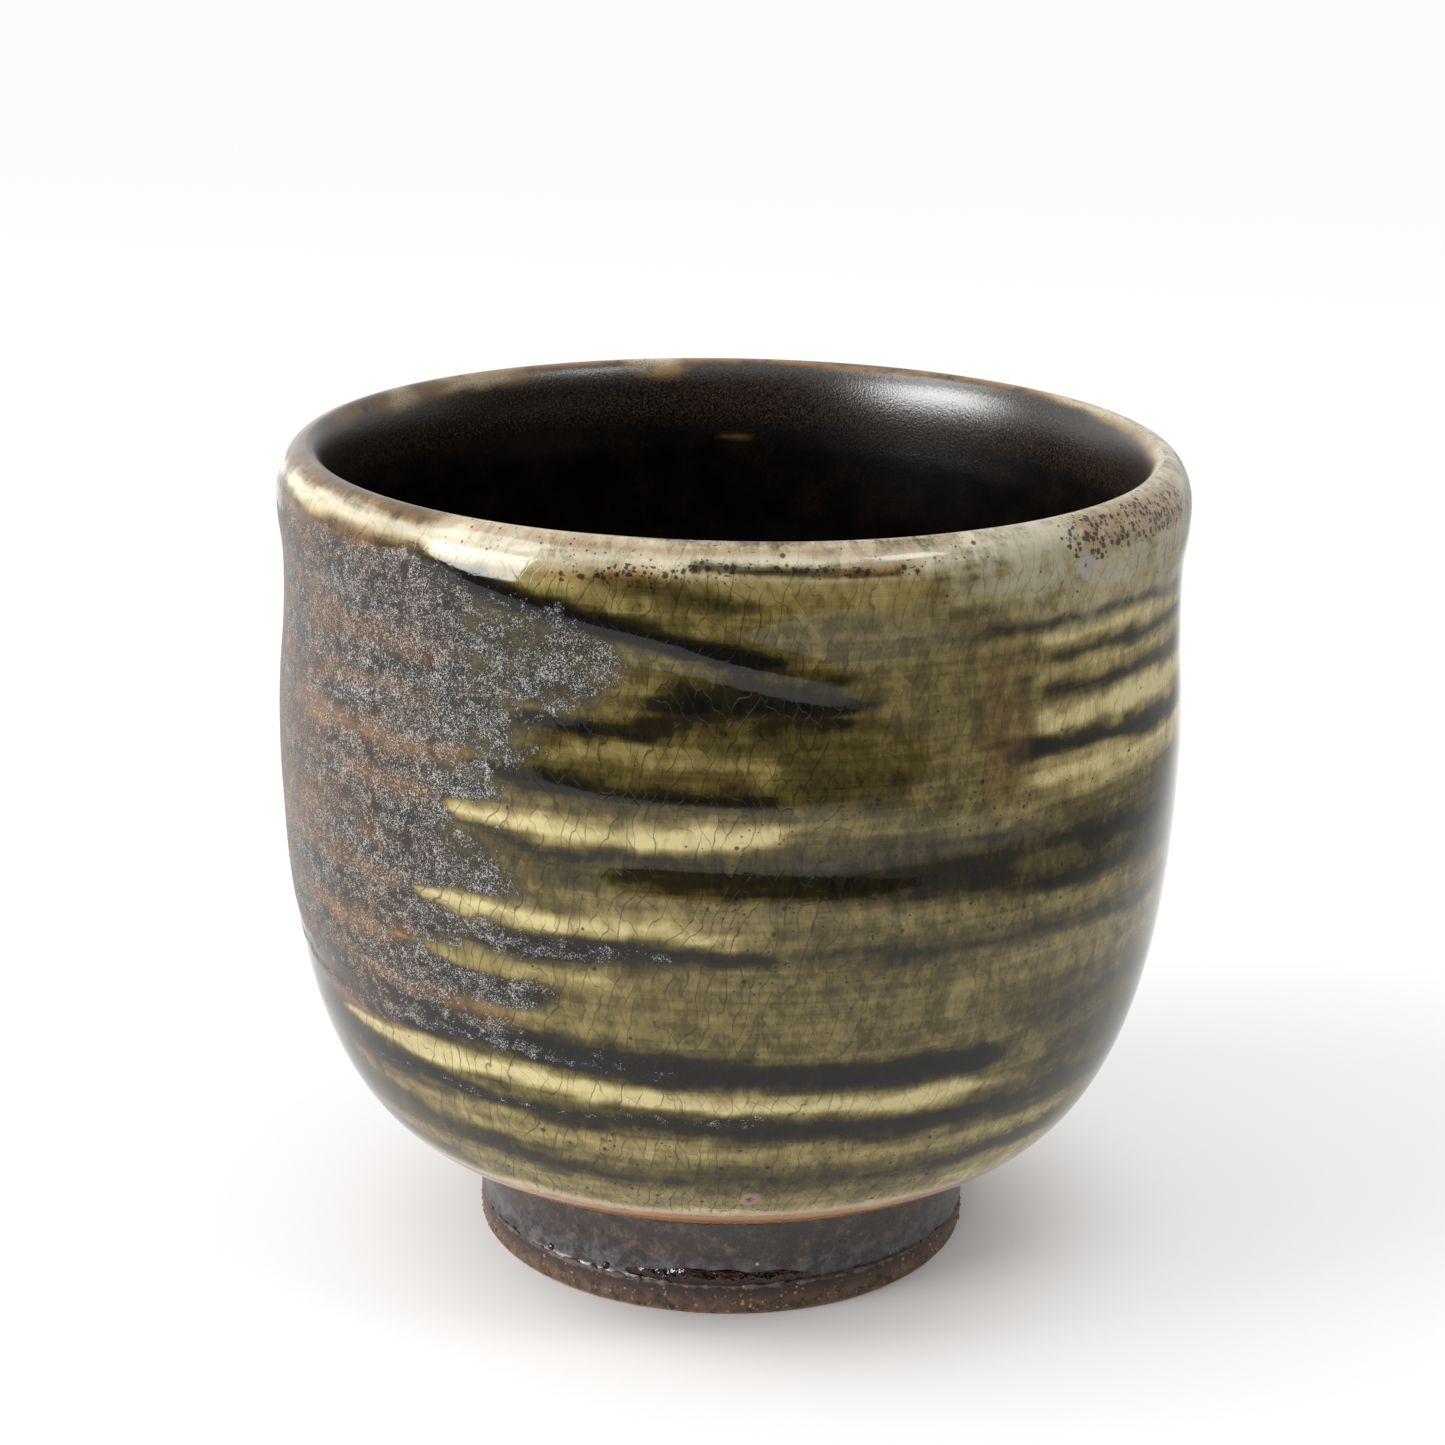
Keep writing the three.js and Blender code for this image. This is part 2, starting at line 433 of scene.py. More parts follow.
@dataclass(frozen=True)
class AshGlaze:
    """Crackled olive ash glaze over brushed slip, breaking to rust and to a skin of pale crystals."""

    gloss: float = 0.045
    lip_roughness: float = 0.08
    ground_roughness: float = 0.42
    crystal_roughness: float = 0.60
    refraction: float = 1.37
    relief: float = 0.05 * MM
    crystal_side: float = -50.0
    needle_leans: tuple[float, ...] = (0.40, -0.80)
    needle_stretch: float = 0.40
    edge_height: float = 16.4
    wall_radius: float = 45.0
    crack_width: float = 0.11
    cracks: tuple[Cracks, ...] = (Cracks(0.32, 1.15, 1.0), Cracks(-0.75, 1.8, 0.7))
    slip_tones: Ramp = (
        (0.05, (0.006, 0.006, 0.006)),
        (0.26, (0.021, 0.016, 0.006)),
        (0.46, (0.090, 0.069, 0.020)),
        (0.70, (0.280, 0.220, 0.082)),
        (0.95, (0.580, 0.490, 0.240)),
    )
    # Pale cream of the lip's crest, made whiter in part as a painted highlight on the lip.
    crest: Colour = (0.800, 0.735, 0.570)
    milk: Colour = (0.430, 0.400, 0.305)
    rust: Colour = (0.300, 0.150, 0.050)
    crack: Colour = (0.020, 0.014, 0.006)
    speck: Colour = (0.010, 0.008, 0.008)
    edge_pink: Colour = (0.520, 0.370, 0.290)
    edge_toast: Colour = (0.400, 0.185, 0.085)
    skin_ground: Colour = (0.006, 0.006, 0.007)
    brown_ground: Colour = (0.062, 0.034, 0.021)
    rust_ground: Colour = (0.220, 0.105, 0.040)
    crystal: Colour = (0.420, 0.400, 0.370)
    brown_crystal: Colour = (0.370, 0.272, 0.200)
    rust_crystal: Colour = (0.500, 0.340, 0.205)
    pit_hole: Colour = (0.020, 0.010, 0.012)
    pits: tuple[Pit, ...] = (
        Pit(3.8, 38.6, 19.2, 0.55, 1.3, (0.330, 0.180, 0.170)),
        Pit(44.3, 44.9, 79.0, 0.25, 1.5, (0.340, 0.305, 0.290)),
    )

    def make(self) -> Material:
        """Builds the glaze from the attributes that the brushwork left and returns it."""
        material, sheet, shader = new_material("ash_glaze")
        place = sheet.millimetres()
        height = sheet.split(place)[2]
        mottle = sheet.noise(place, 0.45, 5.0, 0.6)
        crackle, facets = self.crackle(sheet, place)
        colour = self.brushed(sheet, place, mottle, facets)
        milk = sheet.times(sheet.attribute(Coat.MILK), sheet.ease(mottle, 0.25, 0.60))
        colour = sheet.mix(milk, colour, self.milk)
        rust = sheet.times(sheet.attribute(Coat.RUST), sheet.ease(mottle, 0.30, 0.62))
        colour = sheet.mix(rust, colour, self.rust)
        cluster = sheet.noise(place, 0.50, 5.0, 0.75)
        zone = self.zone(sheet, cluster, 1.0)
        fleck = self.flecks(sheet, place, self.zone(sheet, cluster, 2.4))
        ground, tint = self.crystals(sheet, place, colour, rust, zone)
        colour = sheet.mix(fleck, ground, tint)
        crackle = sheet.times(crackle, sheet.minus(1.0, zone))
        crackle = sheet.times(crackle, sheet.ease(height, 79.0, 82.0, 1.0, 0.3))
        colour = sheet.mix(sheet.times(crackle, 0.72), colour, self.crack)
        colour = sheet.mix(sheet.times(self.specks(sheet, place), 0.85), colour, self.speck)
        colour = self.edged(sheet, height, mottle, colour)
        for pit in self.pits:
            colour = self.pitted(sheet, place, colour, pit)
        shade = sheet.ease(height, 77.0, 80.0, self.gloss, self.lip_roughness)
        shade = sheet.ease(zone, 0.0, 1.0, shade, self.ground_roughness)
        shade = sheet.ease(fleck, 0.0, 1.0, shade, self.crystal_roughness)
        relief = sheet.minus(fleck, sheet.times(crackle, 0.3))
        bump = sheet.bump(sheet.plus(relief, sheet.times(mottle, 0.6)), 0.35, self.relief)
        sheet.wire(shader, {"Base Color": colour, "Roughness": shade, "Normal": bump, "IOR": self.refraction})
        return material

    def brushed(self, sheet: NodeSheet, place: Feed, mottle: Feed, facets: Feed) -> Socket:
        """Colours glaze over slip, thick and thin, with bristle lines and runs.

        Args:
            sheet: that the nodes go to.
            place: on the cup, in millimetres.
            mottle: noise that thickens and thins the glaze.
            facets: a tone for each facet of the crackle.

        Returns:
            The colour.
        """
        streak = sheet.noise(sheet.vector("MULTIPLY", place, (0.045, 0.045, 1.6)), 1.0, 4.0, 0.6)
        run = sheet.noise(sheet.vector("MULTIPLY", place, (1.3, 1.3, 0.22)), 1.0, 3.0)
        fine = sheet.noise(sheet.vector("MULTIPLY", place, (3.2, 3.2, 1.0)), 1.0, 2.0)
        slip = sheet.attribute(Coat.SLIP)
        half_wet = sheet.times(slip, sheet.minus(1.0, slip))
        load = sheet.plus(slip, sheet.swing(streak, sheet.times(half_wet, 1.1)))
        # The facets' tone is painted shading: each facet of the crackle lighter or darker as if it caught the
        # light differently.
        for noise, reach in ((run, 0.05), (fine, 0.16), (mottle, 0.46), (facets, 0.08)):
            load = sheet.plus(load, sheet.swing(noise, reach))
        colour = sheet.ramp(load, self.slip_tones)
        # Pale crest of the lip, partly its thin glaze and partly a painted highlight.
        crest = sheet.times(sheet.ease(sheet.split(place)[2], 79.6, 81.8), sheet.ease(load, 0.40, 0.75))
        return sheet.mix(sheet.times(crest, 0.75), colour, self.crest)

    def edged(self, sheet: NodeSheet, height: Feed, mottle: Feed, colour: Feed) -> Socket:
        """Adds the pink line and the toasted fringe where the glaze ends above the foot.

        Args:
            sheet: that the nodes go to.
            height: on the cup, in millimetres.
            mottle: noise that makes the edge ragged.
            colour: of the glaze.

        Returns:
            The colour with its edge.
        """
        level = sheet.plus(height, sheet.swing(mottle, 1.6))
        edge = self.edge_height
        above = sheet.ease(level, edge - 0.1, edge + 0.2)
        pink = sheet.times(above, sheet.ease(level, edge + 0.9, edge + 0.4, 0.0, 0.7))
        colour = sheet.mix(pink, colour, self.edge_pink)
        return sheet.mix(sheet.ease(level, edge + 0.1, edge - 0.3, 0.0, 0.9), colour, self.edge_toast)

    @staticmethod
    def specks(sheet: NodeSheet, place: Feed) -> Socket:
        """Scatters iron specks, single ones and crowds.

        Args:
            sheet: that the nodes go to.
            place: on the cup, in millimetres.

        Returns:
            1 on a speck and 0 elsewhere.
        """
        share = sheet.attribute(Coat.SPECK)
        large, small = sheet.dots(place, 1.2, share, 0.42), sheet.dots(place, 2.7, share, 0.5)
        crowd = sheet.dots(place, 1.9, sheet.ease(share, 0.35, 0.85), 0.95)
        return sheet.most(sheet.math("ADD", large, small, clamp=True), crowd)

    @staticmethod
    def zone(sheet: NodeSheet, cluster: Feed, scatter: float) -> Socket:
        """Returns how thick the crystal skin lies, scattered in clusters towards its border."""
        reach = sheet.plus(sheet.attribute(Coat.CRYSTAL), sheet.swing(cluster, scatter))
        return sheet.ease(reach, 0.45, 1.05)

    def flecks(self, sheet: NodeSheet, place: Feed, zone: Feed) -> Socket:
        """Grows the slanted needles of the crystal skin, closer where it lies thick.

        Args:
            sheet: that the nodes go to.
            place: on the cup, in millimetres.
            zone: how thick the skin lies.

        Returns:
            1 on a needle and 0 between them.
        """
        turn = math.radians(self.crystal_side)
        along = Vector((math.cos(turn), math.sin(turn), 0.0))
        out = Vector((math.sin(turn), -math.cos(turn), 0.0))
        up = Vector((0.0, 0.0, 1.0))
        needles = None
        for slant in self.needle_leans:
            upright = math.sqrt(1.0 - slant * slant)
            lean = slant * along - upright * up
            cross = upright * along + slant * up
            axes = (cross, out, lean * self.needle_stretch)
            slanted = sheet.combine(*(sheet.measure("DOT_PRODUCT", place, axis) for axis in axes))
            grown = sheet.noise(slanted, 10.0, 2.0, 0.6, 0.3)
            needles = grown if needles is None else sheet.most(needles, grown)
        clump = sheet.swing(sheet.noise(place, 0.9, 3.0, 0.6), 0.24)
        start = sheet.plus(sheet.ease(zone, 0.0, 1.0, 0.73, 0.562), clump)
        fleck = sheet.ease(needles, start, sheet.plus(start, 0.08))
        return sheet.times(fleck, sheet.ease(zone, 0.02, 0.20))

    def crystals(
        self, sheet: NodeSheet, place: Feed, colour: Feed, rust: Feed, zone: Feed
    ) -> tuple[Socket, Socket]:
        """Colours the crystal skin, browner round the side.

        Args:
            sheet: that the nodes go to.
            place: on the cup, in millimetres.
            colour: of the glaze under the skin.
            rust: how rusty the glaze is.
            zone: how thick the skin lies.

        Returns:
            The colour of its ground and the colour of its needles.
        """
        drift = sheet.noise(sheet.vector("MULTIPLY", place, (0.06, 0.06, 0.40)), 1.0, 3.0, 0.6)
        side = sheet.ease(sheet.split(place)[0], -18.0, -42.0)
        brown = sheet.times(sheet.ease(drift, 0.36, 0.60), side)
        ground = sheet.mix(zone, colour, self.skin_ground)
        ground = sheet.mix(sheet.times(brown, 0.6), ground, self.brown_ground)
        ground = sheet.mix(sheet.times(rust, 0.8), ground, self.rust_ground)
        tint = sheet.mix(brown, self.crystal, self.brown_crystal)
        return ground, sheet.mix(rust, tint, self.rust_crystal)

    def crackle(self, sheet: NodeSheet, place: Feed) -> tuple[Socket, Socket]:
        """Draws the fine lines of the crackle, upright and leaning.

        Args:
            sheet: that the nodes go to.
            place: on the cup, in millimetres.

        Returns:
            How dark the lines are, and a tone for each facet between them.
        """
        part = sheet.split(place)
        turn = sheet.math("ARCTAN2", part[0], sheet.times(part[1], -1.0))
        arc = sheet.times(turn, self.wall_radius)
        lines, rows = None, []
        for family in self.cracks:
            across = sheet.minus(arc, sheet.times(part[2], family.lean))
            spot = sheet.combine(sheet.times(arc, 0.24), sheet.times(part[2], 0.14), family.spacing)
            bend = sheet.swing(sheet.noise(spot, 1.0, 3.0), 4.5)
            phase = sheet.plus(sheet.math("DIVIDE", across, family.spacing), bend)
            away = sheet.math("ABSOLUTE", sheet.minus(sheet.math("FRACT", phase), 0.5))
            line = sheet.ease(away, 0.5 - self.crack_width / family.spacing, 0.5)
            row = sheet.math("FLOOR", sheet.plus(phase, 0.5))
            along = sheet.combine(sheet.times(row, 3.7), sheet.times(part[2], 0.26), family.lean)
            open_here = sheet.ease(sheet.noise(along, 1.0, 2.0), 0.38, 0.52, 0.0, family.strength)
            line = sheet.times(line, open_here)
            lines = line if lines is None else sheet.most(lines, line)
            rows.append(sheet.math("FLOOR", phase))
        facets = sheet.add("ShaderNodeTexWhiteNoise", {"Vector": sheet.combine(*rows)}).outputs["Value"]
        return sheet.times(lines, sheet.ease(arc, 2.0, 18.0, 1.0, 0.55)), facets

    def pitted(self, sheet: NodeSheet, place: Feed, colour: Feed, pit: Pit) -> Socket:
        """Adds a pit's halo and dark hole.

        Args:
            sheet: that the nodes go to.
            place: on the cup, in millimetres.
            colour: of the glaze.
            pit: that is added.

        Returns:
            The colour with the pit.
        """
        away = sheet.measure("DISTANCE", place, pit.place)
        ragged = sheet.plus(away, sheet.swing(sheet.noise(place, 1.6, 3.0), pit.halo * 1.2))
        darkened = sheet.mix(sheet.ease(ragged, pit.halo, pit.halo * 0.5, 0.0, 0.8), colour, pit.tint)
        frayed = sheet.plus(away, sheet.swing(sheet.noise(place, 3.0), 0.8))
        return sheet.mix(sheet.times(sheet.ease(frayed, pit.hole, 0.1), 0.9), darkened, self.pit_hole)


@dataclass(frozen=True)
class IronLiner:
    """Near-black iron glaze, darker still below the lip as painted shade inside the bowl, grainy under the
    lip, with ochre and pale runs from the outer glaze.
    """

    deep_roughness: float = 0.20
    lip_roughness: float = 0.26
    refraction: float = 1.60
    relief: float = 0.05 * MM
    # Painted shade: below the lip band the glaze is near black, standing for the dark glaze together with the
    # shade deep in the bowl.
    deep_tones: Ramp = ((0.35, (0.0008, 0.0007, 0.0006)), (0.75, (0.006, 0.0035, 0.0022)))
    lip_tones: Ramp = ((0.42, (0.002, 0.0015, 0.001)), (0.68, (0.046, 0.028, 0.016)))
    brown: Colour = (0.018, 0.009, 0.005)
    pooled: Colour = (0.060, 0.032, 0.013)
    rust: Colour = (0.280, 0.150, 0.045)
    pale: Colour = (0.500, 0.430, 0.270)

    def make(self) -> Material:
        """Builds the liner and returns it."""
        material, sheet, shader = new_material("iron_liner")
        place = sheet.millimetres()
        height = sheet.split(place)[2]
        fine = sheet.noise(place, 4.2, 3.0)
        cloud = sheet.noise(place, 0.22, 5.0, 0.65)
        shaded_deep = sheet.ramp(cloud, self.deep_tones)
        brown = sheet.times(sheet.ease(fine, 0.52, 0.66), sheet.ease(cloud, 0.42, 0.70))
        shaded_deep = sheet.mix(brown, shaded_deep, self.brown)
        pooled = sheet.times(sheet.ease(height, 26.0, 16.0), sheet.ease(cloud, 0.40, 0.62))
        shaded_deep = sheet.mix(pooled, shaded_deep, self.pooled)
        colour = sheet.mix(sheet.ease(height, 74.5, 77.5), shaded_deep, sheet.ramp(fine, self.lip_tones))
        rust = sheet.times(sheet.attribute(Coat.RUST), sheet.ease(cloud, 0.28, 0.52))
        colour = sheet.mix(rust, colour, self.rust)
        pale = sheet.times(sheet.attribute(Coat.SLIP), sheet.ease(fine, 0.25, 0.50))
        colour = sheet.mix(pale, colour, self.pale)
        shade = sheet.ease(height, 70.0, 77.0, self.deep_roughness, self.lip_roughness)
        bump = sheet.bump(fine, 0.6, self.relief)
        sheet.wire(shader, {"Base Color": colour, "Roughness": shade, "Normal": bump, "IOR": self.refraction})
        return material


@dataclass(frozen=True)
class IronWash:
    """Thin dark wash on the foot and underside, with a painted blue-grey sheen and painted glints above the
    ledge.
    """

    bloom_low: float = 4.0
    bloom_high: float = 5.3
    refraction: float = 1.62
    pooled_roughness: float = 0.22
    thin_roughness: float = 0.42
    relief: float = 0.1 * MM
    tones: Ramp = (
        (0.52, (0.009, 0.006, 0.005)),
        (0.77, (0.033, 0.021, 0.018)),
        (0.97, (0.150, 0.094, 0.068)),
    )
    # Painted sheen: blue-grey colour that stands for the gloss of the wash catching light above the ledge.
    bloom: Colour = (0.120, 0.128, 0.148)
    grain: Colour = (0.240, 0.150, 0.090)
    # Painted glints: near-white colour that stands for tiny highlights on the wash.
    glint: Colour = (0.620, 0.620, 0.650)

    def make(self) -> Material:
        """Builds the wash and returns it."""
        material, sheet, shader = new_material("iron_wash")
        place = sheet.millimetres()
        height = sheet.split(place)[2]
        cloud = sheet.noise(place, 0.60, 5.0, 0.70)
        tone = sheet.plus(cloud, sheet.times(sheet.noise(place, 2.6, 4.0, 0.7), 0.5))
        colour = sheet.ramp(tone, self.tones)
        # Painted sheen: the band above the ledge takes the blue-grey colour in clouds.
        rise = sheet.ease(height, self.bloom_low - 0.8, self.bloom_low + 0.4)
        fall = sheet.ease(height, self.bloom_high + 1.2, self.bloom_high - 0.6)
        band = sheet.times(rise, fall)
        bloom = sheet.times(band, sheet.ease(cloud, 0.40, 0.62))
        colour = sheet.mix(sheet.times(bloom, 0.65), colour, self.bloom)
        colour = sheet.mix(sheet.times(sheet.dots(place, 1.0, 0.28, 0.3), 0.7), colour, self.grain)
        # Painted highlights: near-white dots scattered over the band above the ledge.
        painted_glints = sheet.times(sheet.dots(place, 0.8, 0.30, 0.22), band)
        colour = sheet.mix(painted_glints, colour, self.glint)
        shade = sheet.ease(cloud, 0.3, 0.7, self.pooled_roughness, self.thin_roughness)
        bump = sheet.bump(tone, 0.6, self.relief)
        sheet.wire(shader, {"Base Color": colour, "Roughness": shade, "Normal": bump, "IOR": self.refraction})
        return material


@dataclass(frozen=True)
class StonewareClay:
    """Fired stoneware: a mottled ground with sandy grains, a sandy hem near the table and darker clay above a
    given height.

    Attributes:
        name: of the material.
        dark: tone of the mottled ground.
        light: tone of the mottled ground.
        grain: colour of the sand.
        roughness: of the surface.
        hem: height up to which sand shows, in millimetres, or zero for none.
        stain: height above which the clay is darker, in millimetres, or zero for none.
        relief: depth of the grain, in metres.
    """

    name: str
    dark: Colour
    light: Colour
    grain: Colour
    roughness: float = 0.75
    hem: float = 0.0
    stain: float = 0.0
    relief: float = 0.1 * MM

    def make(self) -> Material:
        """Builds the clay and returns it."""
        material, sheet, shader = new_material(self.name)
        place = sheet.millimetres()
        cloud = sheet.noise(place, 0.8, 6.0, 0.75)
        colour = sheet.ramp(cloud, ((0.36, self.dark), (0.66, self.light)))
        grains = sheet.dots(place, 1.3, 0.35, 0.36)
        # The clay is darker above the given height.
        if self.stain:
            level = sheet.plus(sheet.split(place)[2], sheet.times(cloud, 3.0))
            darkened = sheet.ease(level, self.stain, self.stain + 1.6, 0.0, 0.85)
            colour = sheet.mix(darkened, colour, self.dark)
        if self.hem:
            worn = sheet.ease(sheet.split(place)[2], self.hem, self.hem * 0.4)
            grains = sheet.most(grains, sheet.times(worn, sheet.ease(cloud, 0.35, 0.55)))
        colour = sheet.mix(sheet.times(grains, 0.75), colour, self.grain)
        bump = sheet.bump(sheet.noise(place, 4.0, 3.0), 0.5, self.relief)
        sheet.wire(shader, {"Base Color": colour, "Roughness": self.roughness, "Normal": bump})
        return material


@dataclass(frozen=True)
class PoolGlaze:
    """Glassy red-brown glaze where the wash ran together on the ledge."""

    roughness: float = 0.12
    relief: float = 0.5 * MM
    tones: Ramp = ((0.35, (0.005, 0.002, 0.002)), (0.7, (0.040, 0.010, 0.006)))
    thin: Colour = (0.300, 0.110, 0.030)

    def make(self) -> Material:
        """Builds the pooled glaze and returns it."""
        material, sheet, shader = new_material("pool_glaze")
        place = sheet.millimetres()
        cloud = sheet.noise(place, 0.8, 3.0)
        colour = sheet.ramp(cloud, self.tones)
        thin = sheet.times(sheet.ease(sheet.split(place)[2], 3.35, 3.05), sheet.ease(cloud, 0.35, 0.5))
        colour = sheet.mix(thin, colour, self.thin)
        bump = sheet.bump(cloud, 0.8, self.relief)
        sheet.wire(shader, {"Base Color": colour, "Roughness": self.roughness, "Normal": bump})
        return material


class Growth:
    """A piece that a geometry tree grows. Its fields are the tree's named inputs, in metres and radians."""

    tree_name: ClassVar[str]

    def shape(self, sheet: NodeSheet, given: NodeOutputs) -> Socket:
        """Adds the nodes that shape the piece and returns its geometry."""
        raise NotImplementedError

    def inputs(self, material: Material) -> dict[str, tuple[str, object]]:
        """Lists the tree's inputs.

        Args:
            material: of the piece.

        Returns:
            Each input's name to its socket type and value.
        """
        listed = {}
        for item in fields(self):
            value = getattr(self, item.name)
            kind = "NodeSocketInt" if isinstance(value, int) else "NodeSocketFloat"
            listed[item.name.replace("_", " ").title()] = (kind, value)
        return listed | {"Material": ("NodeSocketMaterial", material)}

    def tree(self, kinds: dict[str, str]) -> tuple[NodeTree, dict[str, str]]:
        """Builds the node tree, which ends smooth, real and in its material.

        Args:
            kinds: the inputs' names and socket types.

        Returns:
            The tree and its input identifiers by name.
        """
        tree = bpy.data.node_groups.new(self.tree_name, "GeometryNodeTree")
        for side in ("INPUT", "OUTPUT"):
            tree.interface.new_socket("Geometry", in_out=side, socket_type="NodeSocketGeometry")
        sockets = {}
        for label, kind in kinds.items():
            sockets[label] = tree.interface.new_socket(label, in_out="INPUT", socket_type=kind).identifier
        sheet = NodeSheet(tree)
        given = sheet.add("NodeGroupInput").outputs
        soft = sheet.add("GeometryNodeSetShadeSmooth", {"Geometry": self.shape(sheet, given)}).outputs[0]
        real = sheet.add("GeometryNodeRealizeInstances", {"Geometry": soft}).outputs[0]
        coat = {"Geometry": real, "Material": given["Material"]}
        sheet.add("NodeGroupOutput", {0: sheet.add("GeometryNodeSetMaterial", coat).outputs[0]})
        return tree, sockets

    def grow(
        self, name: str, material: Material, points: Sequence[Sequence[float]] = ()
    ) -> Object:
        """Grows the piece and keeps it as a plain mesh.

        Args:
            name: of the piece.
            material: of the piece.
            points: that the tree starts from, in metres.

        Returns:
            The finished object, at the origin.
        """
        inputs = self.inputs(material)
        tree, sockets = self.tree({label: kind for label, (kind, _) in inputs.items()})
        start = bpy.data.meshes.new(name + "_start")
        start.from_pydata(points, [], [])
        host = bpy.data.objects.new(name + "_host", start)
        bpy.context.scene.collection.objects.link(host)
        modifier = host.modifiers.new("growth", "NODES")
        modifier.node_group = tree
        for label, (_, value) in inputs.items():
            modifier[sockets[label]] = value
        graph = bpy.context.evaluated_depsgraph_get()
        mesh = bpy.data.meshes.new_from_object(host.evaluated_get(graph))
        mesh.name = name
        bpy.data.objects.remove(host)
        bpy.data.meshes.remove(start)
        piece = bpy.data.objects.new(name, mesh)
        bpy.context.scene.collection.objects.link(piece)
        return piece


def unit_grid(sheet: NodeSheet, columns: Feed, rows: Feed) -> tuple[Socket, Socket, Socket]:
    """Adds a flat grid for a piece that is rolled round the axis.

    Args:
        sheet: that the nodes go to.
        columns: of points.
        rows: of points.

    Returns:
        The grid, and how far along its columns and its rows a point lies, from 0 to 1.
    """
    size = {"Size X": 1.0, "Size Y": 1.0, "Vertices X": columns, "Vertices Y": rows}
    grid = sheet.add("GeometryNodeMeshGrid", size).outputs["Mesh"]
    cell = sheet.split(sheet.position())
    return grid, sheet.plus(cell[0], 0.5), sheet.plus(cell[1], 0.5)


def rolled(sheet: NodeSheet, grid: Feed, radius: Feed, turn: Feed, height: Feed) -> Socket:
    """Rolls a grid round the axis and closes its seams.

    Args:
        sheet: that the nodes go to.
        grid: that is rolled.
        radius: of each point.
        turn: of each point.
        height: of each point.

    Returns:
        The closed shell.
    """
    across = sheet.times(radius, sheet.math("SINE", turn))
    back = sheet.times(radius, sheet.times(sheet.math("COSINE", turn), -1.0))
    feeds = {"Geometry": grid, "Position": sheet.combine(across, back, height)}
    shell = sheet.add("GeometryNodeSetPosition", feeds).outputs[0]
    return sheet.add("GeometryNodeMergeByDistance", {"Geometry": shell, "Distance": WELD}).outputs[0]


@dataclass
class ThrownShell(Growth):
    """A turned piece: an outline swept round the axis, with throwing ridges and a slow wobble.

    Attributes:
        columns: facets round the axis.
        ridge_height: how far a ridge stands off.
        ridge_pitch: height from ridge to ridge.
        ridge_run: how far a ridge keeps its shape round the cup.
        still_from: height above which the ridges fade.
        still_to: height above which there are none.
        wobble: how far the wall leaves the round.
        seed: of the noise.
        wobble_waves: waves of the wobble to a metre.
    """

    columns: int
    ridge_height: float = 0.0
    ridge_pitch: float = 4.0 * MM
    ridge_run: float = 40.0 * MM
    still_from: float = 72.0 * MM
    still_to: float = 80.0 * MM
    wobble: float = 0.0
    seed: float = 3.0
    wobble_waves: ClassVar[float] = 14.0
    tree_name: ClassVar[str] = "thrown_shell"

    def turn(self, name: str, outline: Points, material: Material) -> Object:
        """Turns an outline.

        Args:
            name: of the piece.
            outline: closed, or from axis to axis, in millimetres.
            material: of the piece.

        Returns:
            The finished object.
        """
        piece = self.grow(name, material, [(radius * MM, 0.0, height * MM) for radius, height in outline])
        piece.data.set_sharp_from_angle(angle=SHARP_ANGLE)
        return piece

    def shape(self, sheet: NodeSheet, given: NodeOutputs) -> Socket:
        """Sweeps the outline round the axis.

        Args:
            sheet: that the nodes go to.
            given: the tree's inputs.

        Returns:
            The shell.
        """
        outline = given["Geometry"]
        size = sheet.add("GeometryNodeAttributeDomainSize", {0: outline}, component="MESH")
        rows = size.outputs["Point Count"]
        grid, across, along = unit_grid(sheet, sheet.plus(given["Columns"], 1.0), rows)
        row = sheet.math("ROUND", sheet.times(along, sheet.minus(rows, 1.0)))
        feeds = {"Geometry": outline, "Value": sheet.position(), "Index": row}
        sample = sheet.add("GeometryNodeSampleIndex", feeds, data_type="FLOAT_VECTOR")
        point = sheet.split(sample.outputs[0])
        shell = rolled(sheet, grid, point[0], sheet.times(across, math.tau), point[2])
        return self.ridged(sheet, shell, given)

    def ridged(self, sheet: NodeSheet, shell: Feed, given: NodeOutputs) -> Socket:
        """Adds the throwing ridges and the wobble to a round shell and keeps its standing face flat.

        Args:
            sheet: that the nodes go to.
            shell: the round shell.
            given: the tree's inputs.

        Returns:
            The ridged shell.
        """
        here = sheet.position()
        part = sheet.split(here)
        pitch = sheet.math("DIVIDE", part[2], given["Ridge Pitch"])
        long_x, long_y = (sheet.math("DIVIDE", part[axis], given["Ridge Run"]) for axis in (0, 1))
        ridge = sheet.seeded(sheet.combine(long_x, long_y, pitch), given["Seed"], 1.0, 1.0)
        still = sheet.ease(part[2], given["Still To"], given["Still From"])
        height = sheet.times(sheet.times(given["Ridge Height"], 2.0), still)
        normal = sheet.add("GeometryNodeInputNormal").outputs[0]
        lift = sheet.scaled(normal, sheet.swing(ridge, height))
        lean = sheet.seeded(here, given["Seed"], self.wobble_waves, 0.0)
        flat = sheet.combine(part[0], part[1])
        outward = sheet.add("ShaderNodeVectorMath", {0: flat}, operation="NORMALIZE").outputs[0]
        sway = sheet.scaled(outward, sheet.swing(lean, sheet.times(given["Wobble"], 2.0)))
        moved = sheet.split(sheet.vector("ADD", here, sheet.vector("ADD", lift, sway)))
        place = sheet.combine(moved[0], moved[1], sheet.most(moved[2], 0.0))
        return sheet.add("GeometryNodeSetPosition", {"Geometry": shell, "Position": place}).outputs[0]


